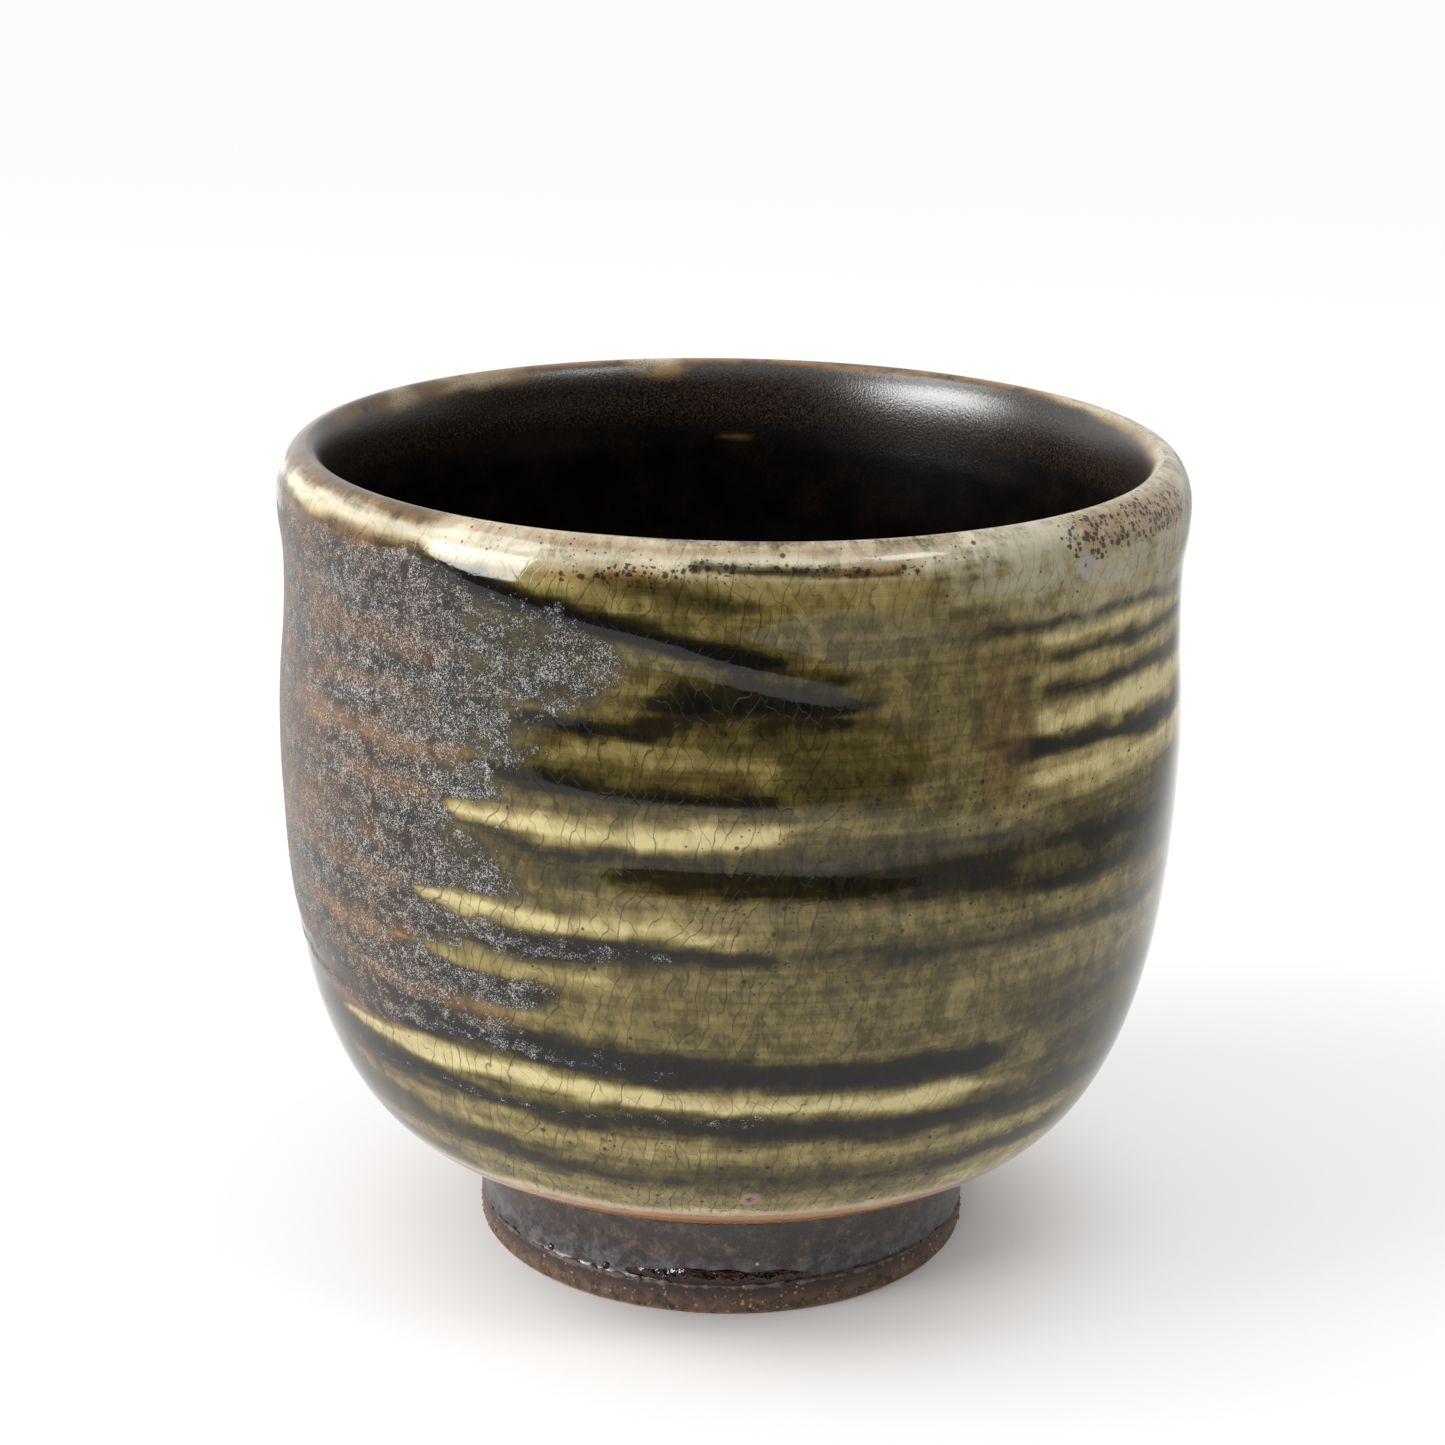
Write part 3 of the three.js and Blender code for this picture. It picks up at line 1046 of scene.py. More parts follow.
@dataclass
class LedgeBead(Growth):
    """A bead of glaze or crust that lies along part of a circle.

    Attributes:
        radius: of its middle line.
        height: of its middle line.
        start: angle where it begins.
        end: angle where it ends.
        out: half of its thickness across.
        up: half of its thickness upright.
        lumps: how uneven it is, from 0 to 1.
        lump_size: length of one swelling.
        columns: facets along it.
        sections: facets round it.
        seed: of the unevenness.
    """

    radius: float
    height: float
    start: float
    end: float
    out: float
    up: float
    lumps: float
    lump_size: float
    columns: int
    sections: int
    seed: float = 2.0
    tree_name: ClassVar[str] = "ledge_bead"

    def shape(self, sheet: NodeSheet, given: NodeOutputs) -> Socket:
        """Rolls a lumpy bead with tapered ends.

        Args:
            sheet: that the nodes go to.
            given: the tree's inputs.

        Returns:
            The bead.
        """
        columns, sections = (sheet.plus(given[label], 1.0) for label in ("Columns", "Sections"))
        grid, along, around = unit_grid(sheet, columns, sections)
        sweep = sheet.times(along, sheet.minus(given["End"], given["Start"]))
        turn = sheet.plus(given["Start"], sweep)
        section = sheet.times(around, math.tau)
        stretch = sheet.math("DIVIDE", given["Radius"], given["Lump Size"])
        circle = sheet.scaled(sheet.combine(sheet.math("SINE", turn), sheet.math("COSINE", turn)), stretch)
        swell = sheet.swing(sheet.seeded(circle, given["Seed"], 1.0, 2.0), given["Lumps"])
        swell = sheet.most(sheet.plus(1.0, sheet.times(swell, 9.0)), 0.1)
        arch = sheet.math("SINE", sheet.times(along, math.pi))
        taper = sheet.most(sheet.minus(arch, CLOSED_END), 0.0)
        swell = sheet.times(swell, sheet.math("POWER", taper, 0.28))
        out = sheet.times(sheet.times(given["Out"], swell), sheet.math("COSINE", section))
        up = sheet.times(sheet.times(given["Up"], swell), sheet.math("SINE", section))
        reach = sheet.plus(given["Radius"], out)
        return rolled(sheet, grid, reach, turn, sheet.plus(given["Height"], up))


@dataclass
class Grains(Growth):
    """Grains or drops, one on each point.

    Attributes:
        least: half size of the smallest.
        most: half size of the largest.
        fineness: how often the facets of one grain are divided.
        seed: of the sizes and turns.
    """

    least: float
    most: float
    fineness: int = 1
    seed: int = 1
    tree_name: ClassVar[str] = "grains"

    def shape(self, sheet: NodeSheet, given: NodeOutputs) -> Socket:
        """Sets a grain on each point.

        Args:
            sheet: that the nodes go to.
            given: the tree's inputs.

        Returns:
            The grains.
        """
        ball = {"Radius": 1.0, "Subdivisions": given["Fineness"]}
        grain = sheet.add("GeometryNodeMeshIcoSphere", ball).outputs["Mesh"]
        least, most = (sheet.combine(given[label], given[label], given[label]) for label in ("Least", "Most"))
        spread = {0: least, 1: most, "Seed": given["Seed"]}
        size = sheet.add("FunctionNodeRandomValue", spread, data_type="FLOAT_VECTOR").outputs[0]
        turns = {0: (0.0, 0.0, 0.0), 1: (math.tau, math.tau, math.tau), "Seed": given["Seed"]}
        turn = sheet.add("FunctionNodeRandomValue", turns, data_type="FLOAT_VECTOR").outputs[0]
        feeds = {"Points": given["Geometry"], "Instance": grain, "Rotation": turn, "Scale": size}
        return sheet.add("GeometryNodeInstanceOnPoints", feeds).outputs[0]


@dataclass(frozen=True)
class Path:
    """A way round the outside of the bowl that a brush or a finger takes.

    Attributes:
        height: of its middle, in millimetres.
        start: angle where it begins.
        end: angle where it ends.
        width: across, in millimetres.
        rise: how much higher it ends than it starts, in millimetres.
        sag: how far its middle hangs, in millimetres.
        ends: softness at both ends, in degrees.
    """

    height: float
    start: float
    end: float
    width: float
    rise: float = 0.0
    sag: float = 0.0
    ends: float = 8.0

    def locate(
        self, angle: np.ndarray, height: np.ndarray, bristle: np.ndarray
    ) -> tuple[np.ndarray, np.ndarray]:
        """Finds points along and across the path.

        Args:
            angle: of the points, in degrees.
            height: of the points, in millimetres.
            bristle: how far single bristles reach past or fall short of the ends, from -1 to 1.

        Returns:
            How far inside the ends each point is, from 0 to 1, and its height above the middle line.
        """
        half = (self.end - self.start) / 2
        away = (angle - (self.start + self.end) / 2 + 180.0) % 360.0 - 180.0
        along = np.clip(away / half, -1.0, 1.0)
        middle = self.height + self.rise * along / 2 - self.sag * (1.0 - along * along)
        inside = smooth((half - np.abs(away) + bristle * self.ends * 0.35) / self.ends)
        return inside, height - middle


@dataclass(frozen=True)
class Mark(Path):
    """One pass of the brush, or one bloom of the kiln.

    Attributes:
        coat: the layer that it changes.
        tone: what it leaves, from 0 for bare iron to 1 for full slip.
        load: how well it covers, from 0 to 1.
        edge: how far its edges stray, in millimetres.
        bleed: how much further than that they bleed in the firing.
    """

    coat: Coat = Coat.SLIP
    tone: float = 1.0
    load: float = 0.9
    edge: float = 0.6
    bleed: float = 1.4

    def cover(
        self, angle: np.ndarray, height: np.ndarray, fray: np.ndarray, bristle: np.ndarray
    ) -> np.ndarray:
        """Says how much of the mark lies on each point.

        Args:
            angle: of the points, in degrees.
            height: of the points, in millimetres.
            fray: how far the edges stray there, from -1 to 1.
            bristle: how far single bristles reach past or fall short of the ends, from -1 to 1.

        Returns:
            The cover, from 0 to 1.
        """
        inside, above = self.locate(angle, height, bristle)
        reach = self.width / 2 * (0.35 + 0.65 * inside)
        soft = self.edge * self.bleed
        across = smooth((reach + soft - np.abs(above + fray * self.edge)) / (2 * soft))
        return across * smooth(inside * 1.4) * self.load


@dataclass(frozen=True)
class Groove(Path):
    """A shallow groove that a finger left while the bowl was thrown.

    Attributes:
        depth: of the groove, in millimetres, below zero for a ridge.
        lower: width of the flank below the middle line, in millimetres, or zero where both are alike.
    """

    depth: float = 0.1
    lower: float = 0.0

    def sink(self, angle: np.ndarray, height: np.ndarray) -> np.ndarray:
        """Says how far each point sinks.

        Args:
            angle: of the points, in degrees.
            height: of the points, in millimetres.

        Returns:
            The depths, in millimetres.
        """
        inside, above = self.locate(angle, height, np.zeros_like(angle))
        flank = np.where(above < 0.0, self.lower or self.width, self.width)
        return self.depth * inside * np.exp(-((above / flank) ** 2) / 2)


class RoundNoise:
    """Smooth seeded noise on angle and height that closes round the cup."""

    levels: ClassVar[int] = 256

    def __init__(self, seed: int, around: int, pitch: float) -> None:
        """Draws the noise.

        Args:
            seed: of the draw.
            around: waves round the cup.
            pitch: millimetres from wave to wave up the cup.
        """
        self.around = around
        self.pitch = pitch
        self.values = np.random.default_rng(seed).uniform(-1.0, 1.0, (around, self.levels))

    def at(self, angle: np.ndarray, height: np.ndarray) -> np.ndarray:
        """Reads the noise.

        Args:
            angle: of the points, in degrees.
            height: of the points, in millimetres.

        Returns:
            The noise at each point, from -1 to 1.
        """
        turn = (angle / 360.0 % 1.0) * self.around
        level = height / self.pitch
        left, low = np.floor(turn).astype(int), np.floor(level).astype(int)
        right_share, high_share = smooth(turn - left), smooth(level - low)
        total = np.zeros_like(angle)
        for step, share in ((0, 1.0 - right_share), (1, right_share)):
            for lift, part in ((0, 1.0 - high_share), (1, high_share)):
                drawn = self.values[(left + step) % self.around, (low + lift) % self.levels]
                total += share * part * drawn
        return total


def brush(height: float, start: float, end: float, width: float, tone: float, **more: float) -> Mark:
    """Returns a stroke of slip, or where the tone is low a stroke wiped back to the iron."""
    return Mark(height, start, end, width, coat=Coat.SLIP, tone=tone, **more)


def bloom(
    coat: Coat, height: float, start: float, end: float, width: float, tone: float, **more: float
) -> Mark:
    """Returns a bloom of rust, crystals or specks."""
    return Mark(height, start, end, width, coat=coat, tone=tone, **more)


def skin(height: float, start: float, end: float, width: float, tone: float, **more: float) -> Mark:
    """Returns a patch of the crystal skin, which covers what lies under it."""
    return bloom(Coat.CRYSTAL, height, start, end, width, tone, load=1.0, **more)


@dataclass(frozen=True)
class Waves:
    """One noise of the brushwork: its reach, its waves round the cup and its pitch up it in millimetres."""

    reach: float
    around: int
    pitch: float


@dataclass
class Brushwork:
    """What the brush and the kiln left on the outside, and the grooves of the throwing.

    Attributes:
        ground: how much slip lies between the strokes.
        rest: share of specks outside their blooms.
        wander: how the strokes leave their lines, in millimetres.
        fray: how their edges stray.
        bristle: how single bristles overshoot.
        dry_brush: how much the bristles thin and thicken a stroke.
        seed: of every draw.
    """

    ground: float = 0.50
    rest: float = 0.015
    wander: tuple[Waves, ...] = (Waves(0.25, 14, 9.0),)
    fray: tuple[Waves, ...] = (Waves(0.7, 36, 1.7), Waves(0.5, 110, 0.8))
    bristle: tuple[Waves, ...] = (Waves(0.6, 24, 0.7), Waves(0.6, 30, 1.9))
    dry_brush: float = 0.3
    seed: int = 11

    @staticmethod
    def lip_marks() -> list[Mark]:
        """Returns what the outer glaze and the rust leave on the inner half of the lip."""
        rust = Coat.RUST
        return [
            bloom(rust, 82.9, 100, 236, 0.4, 1.0, edge=0.25, ends=14),
            bloom(rust, 82.3, 30, 120, 0.5, 1.0, edge=0.3, ends=14),
            bloom(rust, 82.2, 186, 200, 1.4, 0.9, edge=0.5, ends=5),
            bloom(rust, 82.2, 206, 264, 1.4, 0.55, edge=0.6, ends=10),
            bloom(rust, 74.4, 176, 184, 0.3, 0.6, rise=0.4, edge=0.3, ends=4),
            brush(82.9, 16, 135, 0.7, 0.9, edge=0.3, ends=16),
            brush(82.3, 211, 232, 1.1, 0.7, edge=0.6, ends=10),
            brush(82.2, 234, 244, 1.3, 0.62, edge=0.8, ends=6),
            brush(82.9, 188, 198, 0.6, 0.8, edge=0.3, ends=4),
            brush(82.95, -62, 24, 0.4, 0.85, edge=0.2, ends=12),
        ]

    @staticmethod
    def grooves() -> list[Groove]:
        """Returns the grooves that show as breaks in the gloss."""
        return [
            Groove(54.2, -28, 56, 2.1, ends=20, depth=0.46, rise=-1.6),
            Groove(73.4, -28, 24, 1.9, ends=14, depth=0.07, rise=-1.0),
            Groove(74.6, -40, 16, 1.6, rise=-9.6, ends=10, depth=-0.36, lower=0.5),
            Groove(79.2, -26, 14, 3.2, ends=12, depth=0.40),
            Groove(60.5, 60, 250, 2.4, ends=40, depth=0.14),
            Groove(47.0, 80, 300, 2.0, ends=40, depth=0.12),
            Groove(33.0, -150, 40, 2.6, ends=50, depth=0.10),
        ]

    @staticmethod
    def zones() -> list[Mark]:
        """Returns the broad changes of tone under the strokes, two of which also paint dark reflections."""
        return [
            brush(48.0, -235, -60, 90.0, 0.16, edge=4.0, ends=60),
            brush(48.0, -150, -28, 90.0, 0.16, edge=4.0, ends=16),
            # Painted reflection in part: a dark band widened over the zone where the gloss mirrors the dark
            # room in front.
            brush(68.7, -15, 19, 4.6, 0.05, load=0.92, edge=1.5, ends=13),
            brush(62.8, -30, 26, 7.6, 0.37, load=0.85, edge=1.5, ends=10),
            brush(53.2, -34, 100, 6.4, 0.32, load=0.85, edge=2.0, rise=-5.0, ends=14),
            # Painted reflection in part: the dark lens, toned darker to paint its dark reflection.
            brush(52.3, -17, 40, 2.2, 0.12, load=0.85, edge=0.6, rise=-1.6, ends=8),
            brush(66.0, 28, 37.5, 16.0, 0.48, edge=2.0, ends=3),
            brush(78.0, 22, 165, 9.0, 0.67, load=0.85, edge=1.6, ends=14),
            brush(80.5, -42, 34, 4.6, 0.68, edge=1.4, ends=12),
            brush(22.0, -60, 60, 14.0, 0.46, edge=4.0, ends=16),
        ]

    @staticmethod
    def left_strokes() -> list[Mark]:
        """Returns the strokes on the left of the side that faces the camera, from the lip down."""
        return [
            brush(81.3, -104, -24, 2.0, 0.95, edge=0.8, ends=12),
            brush(81.4, -80, -70, 1.3, 0.35, load=0.6, edge=0.6, ends=4),
            brush(80.7, -98, -88, 1.2, 0.30, load=0.6, edge=0.6, ends=4),
            brush(82.8, -128, -64, 1.0, 0.08, edge=0.5, ends=16),
            brush(79.6, -31, -12, 1.4, 0.70, load=0.8, edge=0.8, ends=8),
            brush(78.8, -20, 6, 1.4, 0.18, load=0.80, rise=-3.4, edge=0.9, ends=9),
            brush(76.0, -44, 11, 2.2, 0.0, load=0.98, rise=-8.4, edge=0.5, ends=15),
            brush(66.3, -28, -6, 1.2, 0.03, load=0.9, edge=0.6, rise=-0.6),
            brush(63.8, -28, 10, 2.3, 0.59, edge=1.0, rise=-1.4, ends=14),
            brush(60.7, -35, 8, 1.2, 0.06, load=0.9, edge=0.7, rise=-1.2, ends=14),
            brush(57.0, 0, 44, 1.6, 0.62, load=0.85, rise=-0.4, edge=0.9, ends=14),
            brush(57.2, -40, 14, 2.0, 1.0, load=0.95, sag=0.2, edge=0.7, ends=15),
            brush(54.9, -36, 4, 0.9, 0.14, load=0.8, edge=0.7, rise=-0.2, ends=14),
            brush(49.8, -26, 40, 1.6, 0.56, load=0.8, edge=0.8, rise=-1.4, ends=14),
            brush(47.9, -44, 8, 1.8, 0.96, edge=0.7, rise=-0.8, ends=12),
            brush(45.5, -36, 9, 2.5, 0.04, load=0.92, rise=0.4, edge=0.9, ends=14),
            brush(42.4, -48, -6, 1.4, 0.76, edge=0.8, rise=-0.4, ends=12),
            brush(40.2, -48, -16, 1.5, 0.06, load=0.85, edge=0.7),
            brush(37.8, -42, -4, 1.3, 0.64, load=0.8, edge=0.8, ends=12),
            brush(40.6, -18, 52, 7.0, 0.53, load=0.6, edge=2.4, ends=16),
            brush(34.2, -52, 39, 2.7, 0.0, edge=0.8, rise=-3.0, ends=9),
            brush(30.5, -63, 44, 2.1, 1.0, edge=0.6, rise=-2.4, sag=-0.2, ends=16),
            brush(27.9, -58, 50, 1.9, 0.06, edge=0.9, rise=-2.4, ends=12),
            brush(24.9, -64, 58, 1.8, 0.76, edge=1.1, rise=-2.6, ends=14),
            brush(22.9, -56, -14, 1.3, 0.12, rise=-4.1, edge=0.9, ends=10),
            brush(21.5, -24, 58, 1.3, 0.24, load=0.8, edge=0.9),
            brush(19.2, -62, 54, 1.6, 0.66, edge=1.0, rise=-2.6, ends=12),
            brush(18.4, -58, -33, 0.8, 0.10, rise=-1.0, edge=0.4),
            brush(17.0, -70, 75, 1.6, 0.90, edge=0.8),
        ]

    @staticmethod
    def right_strokes() -> list[Mark]:
        """Returns the strokes on the right of the side that faces the camera, from the lip down."""
        return [
            brush(80.9, -8, 24, 0.7, 0.06, load=0.8, edge=0.4, rise=-1.0),
            brush(79.4, 20, 31, 0.5, 0.14, load=0.7, edge=0.4, rise=-1.2, ends=5),
            brush(73.5, 22, 96, 0.7, 0.12, load=0.85, edge=0.6, rise=-2.8, ends=12),
            brush(71.5, 35, 97, 1.7, 0.86, edge=0.7, rise=-1.7, ends=6),
            brush(70.0, 37, 88, 0.8, 0.10, load=0.85, edge=0.6, rise=-0.9, ends=5),
            brush(68.8, 36, 96, 1.1, 0.82, edge=0.6, rise=-1.0, ends=5),
            brush(67.0, 36, 84, 1.0, 0.10, load=0.85, edge=0.7, rise=-2.0, ends=6),
            brush(64.5, 36, 102, 2.3, 1.0, edge=0.8, rise=-1.7, ends=4),
            brush(61.8, 29, 86, 1.5, 0.0, edge=0.8, rise=-3.1, ends=9),
            brush(58.9, 34, 102, 2.7, 0.94, edge=0.9, rise=-3.0, ends=6),
            brush(55.2, 6, 46, 0.8, 0.24, load=0.7, edge=0.8, rise=-4.0, ends=12),
            brush(51.7, 36, 102, 1.8, 0.08, load=0.9, edge=0.9, rise=-3.4, ends=12),
            brush(51.0, 8, 34, 1.2, 0.20, load=0.7, edge=0.6, rise=-1.0, ends=9),
            brush(48.6, 25, 102, 1.4, 0.10, load=0.9, edge=0.9, rise=-3.4, ends=12),
            brush(46.0, 22, 102, 1.6, 0.56, edge=0.8, rise=-5.0, ends=18),
            brush(44.3, 6, 102, 1.1, 0.16, load=0.85, edge=1.0, rise=-3.0, ends=14),
            brush(42.3, 24, 100, 0.8, 0.66, load=0.6, edge=0.6, rise=-2.6, ends=12),
            brush(35.6, 32, 95, 3.2, 0.24, load=0.8, edge=1.4, rise=-2.0, ends=14),
            brush(30.8, 38, 95, 3.0, 0.24, load=0.85, edge=1.4, ends=10),
            brush(26.8, 42, 95, 2.2, 0.16, load=0.85, edge=1.0),
            brush(21.6, 28, 58, 0.9, 0.12, load=0.85, edge=0.5, rise=0.9, ends=9),
            brush(18.2, 30, 80, 3.6, 0.82, edge=1.2, ends=9),
        ]

    def far_strokes(self) -> list[Mark]:
        """Draws strokes of the same hand on the sides that the camera doesn't see.

        Returns:
            The strokes, from the lip down.
        """
        draw = np.random.default_rng(self.seed)
        strokes = []
        for height in np.arange(76.0, 18.0, -2.6):
            pale = len(strokes) % 2 == 0
            start = draw.uniform(82.0, 120.0)
            end = start + draw.uniform(60.0, 135.0)
            tone = draw.uniform(0.70, 0.95) if pale else draw.uniform(0.03, 0.2)
            width = draw.uniform(1.2, 2.6) if pale else draw.uniform(0.9, 1.9)
            rise = draw.uniform(-1.5, 1.5)
            ends = draw.uniform(16.0, 42.0)
            strokes.append(brush(height, start, end, width, tone, rise=rise, ends=ends))
        return strokes

    @staticmethod
    def blooms() -> list[Mark]:
        """Returns the rust, the crystal skin, the iron specks and the milky skin of the lip."""
        rust, speck, milk = Coat.RUST, Coat.SPECK, Coat.MILK
        return [
            bloom(rust, 61.9, -70, -28, 1.3, 0.95, edge=0.9, rise=0.6),
            bloom(rust, 66.4, -66, -34, 1.4, 0.55, edge=1.2),
            bloom(rust, 71.4, -66, -30, 1.6, 0.40, edge=1.4),
            bloom(rust, 57.4, -56, -33, 1.2, 0.75, edge=0.8),
            bloom(rust, 52.0, -76, -40, 1.4, 0.55, edge=1.2),
            bloom(rust, 48.2, -78, -38, 1.1, 0.75, edge=0.9),
            bloom(rust, 42.6, -72, -36, 1.2, 0.95, edge=0.8),
            bloom(rust, 37.7, -60, -22, 1.0, 0.75, edge=0.9),
            bloom(rust, 32.7, -70, -40, 0.6, 0.85, edge=0.5),
            bloom(rust, 27.1, -70, -44, 0.6, 0.75, edge=0.5),
            bloom(rust, 82.7, -84, 30, 0.7, 0.50, edge=0.5),
            bloom(rust, 80.3, -78, -38, 0.5, 0.45, edge=0.5),
            bloom(rust, 81.2, 8, 24, 0.9, 0.6, edge=0.4),
            bloom(rust, 80.4, -25, -6, 1.6, 0.40, edge=0.9, ends=7),
            bloom(rust, 81.4, 40, 76, 2.6, 0.60, edge=0.7),
            bloom(rust, 66.0, 28, 38, 15.0, 0.16, edge=2.0, ends=4),
            bloom(rust, 79.4, -98, -36, 0.7, 0.8, edge=0.5),
            bloom(rust, 82.4, -125, -58, 0.9, 0.45, edge=0.6),
            skin(73.5, -138, -22, 15.0, 1.0, edge=3.0, ends=18),
            skin(72.0, -172, 4, 12.0, 1.0, edge=3.0, ends=34),
            skin(65.0, -156, -8, 12.0, 1.0, edge=3.0, ends=30),
            skin(57.5, -176, -10, 9.0, 1.0, edge=2.0, ends=30),
            skin(49.0, -142, -10, 15.0, 1.0, edge=3.0, ends=30),
            skin(45.4, -180, 12, 3.0, 1.0, edge=1.2, ends=40),
            skin(40.0, -148, -4, 11.0, 1.0, edge=2.5, ends=36),
            skin(34.2, -165, 16, 2.4, 1.0, edge=1.2, ends=44),
            skin(30.0, -136, -58, 5.0, 0.80, edge=2.0, ends=34),
            skin(28.6, -110, 50, 1.4, 0.85, edge=0.9, ends=70),
            skin(25.0, -118, -66, 3.0, 0.70, edge=1.6, ends=26),
            bloom(speck, 81.1, 39, 75, 3.0, 1.0, edge=0.6, ends=6),
            bloom(speck, 81.1, -10, 26, 1.1, 0.95, edge=0.5, rise=-1.0, ends=6),
            bloom(speck, 82.0, -40, 34, 1.6, 0.30, edge=0.6),
            bloom(speck, 80.4, -25, 6, 2.6, 0.75, edge=0.9, ends=8),
            bloom(speck, 54.0, -4, 85, 9.0, 0.30, edge=3.0),
            bloom(speck, 46.0, -4, 85, 6.0, 0.24, edge=2.0),
            bloom(speck, 21.0, -50, 60, 9.0, 0.30, edge=3.0),
            bloom(milk, 79.5, 18, 130, 7.0, 0.75, edge=1.6, ends=20),
            bloom(milk, 75.0, 34, 130, 5.0, 0.35, edge=2.0, ends=14),
            bloom(milk, 82.2, -46, 30, 1.2, 0.55, edge=0.6, ends=12),
        ]

    def outside_marks(self) -> list[Mark]:
        """Returns every mark on the outside in the order in which it was made."""
        return self.zones() + self.far_strokes() + self.left_strokes() + self.right_strokes() + self.blooms()

    def press(self, piece: Object) -> None:
        """Presses the grooves into the outer glaze.

        Args:
            piece: the coat of glaze.
        """
        mesh = piece.data
        x, y, z, angle, height = self.survey(mesh)
        sunk = sum(groove.sink(angle, height) for groove in self.grooves())
        shrink = 1.0 - sunk * MM / np.hypot(x, y)
        mesh.vertices.foreach_set("co", np.stack([x * shrink, y * shrink, z], -1).ravel())
        mesh.update()

    @staticmethod
    def survey(mesh: Mesh) -> tuple[np.ndarray, ...]:
        """Reads where the points of a mesh lie.

        Args:
            mesh: that is read.

        Returns:
            Their x, y and z in metres, angle in degrees and height in millimetres.
        """
        places = np.zeros(len(mesh.vertices) * 3)
        mesh.vertices.foreach_get("co", places)
        x, y, z = places.reshape(-1, 3).T
        return x, y, z, np.degrees(np.arctan2(x, -y)), z / MM

    def dress(self, piece: Object, marks: Sequence[Mark], ground: float) -> None:
        """Leaves marks on a mesh, one attribute for each coat.

        Args:
            piece: the coat of glaze.
            marks: in the order in which they were made.
            ground: how much slip lies between the strokes.
        """
        mesh = piece.data
        _, _, z, angle, height = self.survey(mesh)
        height = height + self.noise(self.wander, 4, angle, height)
        fray = self.noise(self.fray, 0, angle, height)
        bristle = self.noise(self.bristle, 2, angle, height)
        levels = {Coat.SLIP: ground, Coat.SPECK: self.rest}
        layers = {coat: np.full(len(z), levels.get(coat, 0.0)) for coat in Coat}
        for mark in marks:
            if mark.coat is Coat.SLIP:
                cover = mark.cover(angle, height, fray, bristle) * (1.0 + self.dry_brush * bristle)
                layers[mark.coat] += np.clip(cover, 0.0, 1.0) * (mark.tone - layers[mark.coat])
            else:
                cover = mark.cover(angle, height, fray, np.zeros_like(angle))
                layers[mark.coat] = np.maximum(layers[mark.coat], cover * mark.tone)
        layers[Coat.CRYSTAL] *= 1.0 - 0.75 * smooth((layers[Coat.SLIP] - 0.45) / 0.3)
        for coat, values in layers.items():
            attribute = mesh.attributes.new(coat.value, "FLOAT", "POINT")
            attribute.data.foreach_set("value", values.astype(np.float32))

    def noise(self, waves: Sequence[Waves], offset: int, angle: np.ndarray, height: np.ndarray) -> np.ndarray:
        """Adds up seeded noises.

        Args:
            waves: of each noise.
            offset: of the first noise's seed.
            angle: of the points, in degrees.
            height: of the points, in millimetres.

        Returns:
            The noise at each point.
        """
        total = np.zeros_like(angle)
        for step, wave in enumerate(waves):
            drawn = RoundNoise(self.seed + offset + step, wave.around, wave.pitch)
            total += wave.reach * drawn.at(angle, height)
        return total


def settle(piece: Object, slot: str, *nodes: str) -> None:
    """Lets a finished piece ride on the cup.

    Args:
        piece: the finished object.
        slot: the record's material slot; not used.
        *nodes: the solids that it stands for.
    """
    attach(piece, BODY)
    if nodes:
        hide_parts(*nodes)
    LOG.info("%s: %d faces", piece.name, len(piece.data.polygons))


@dataclass(frozen=True)
class BowlSteps:
    """Into how many stretches each part of the bowl's outlines is divided.

    Attributes:
        clay: how much coarser the hidden clay is.
        glaze_back: points of the glaze's face to one point of its back.
        liner_back: points of the liner's face to one point of its back.
    """

    lower_wall: int = 118
    belly: int = 44
    flare: int = 18
    lip: int = 18
    inner_lip: int = 16
    inner_waist: int = 12
    inner_belly: int = 30
    inner_wall: int = 60
    floor: int = 40
    underside: int = 24
    boss: int = 24
    clay: int = 2
    glaze_back: int = 12
    liner_back: int = 8


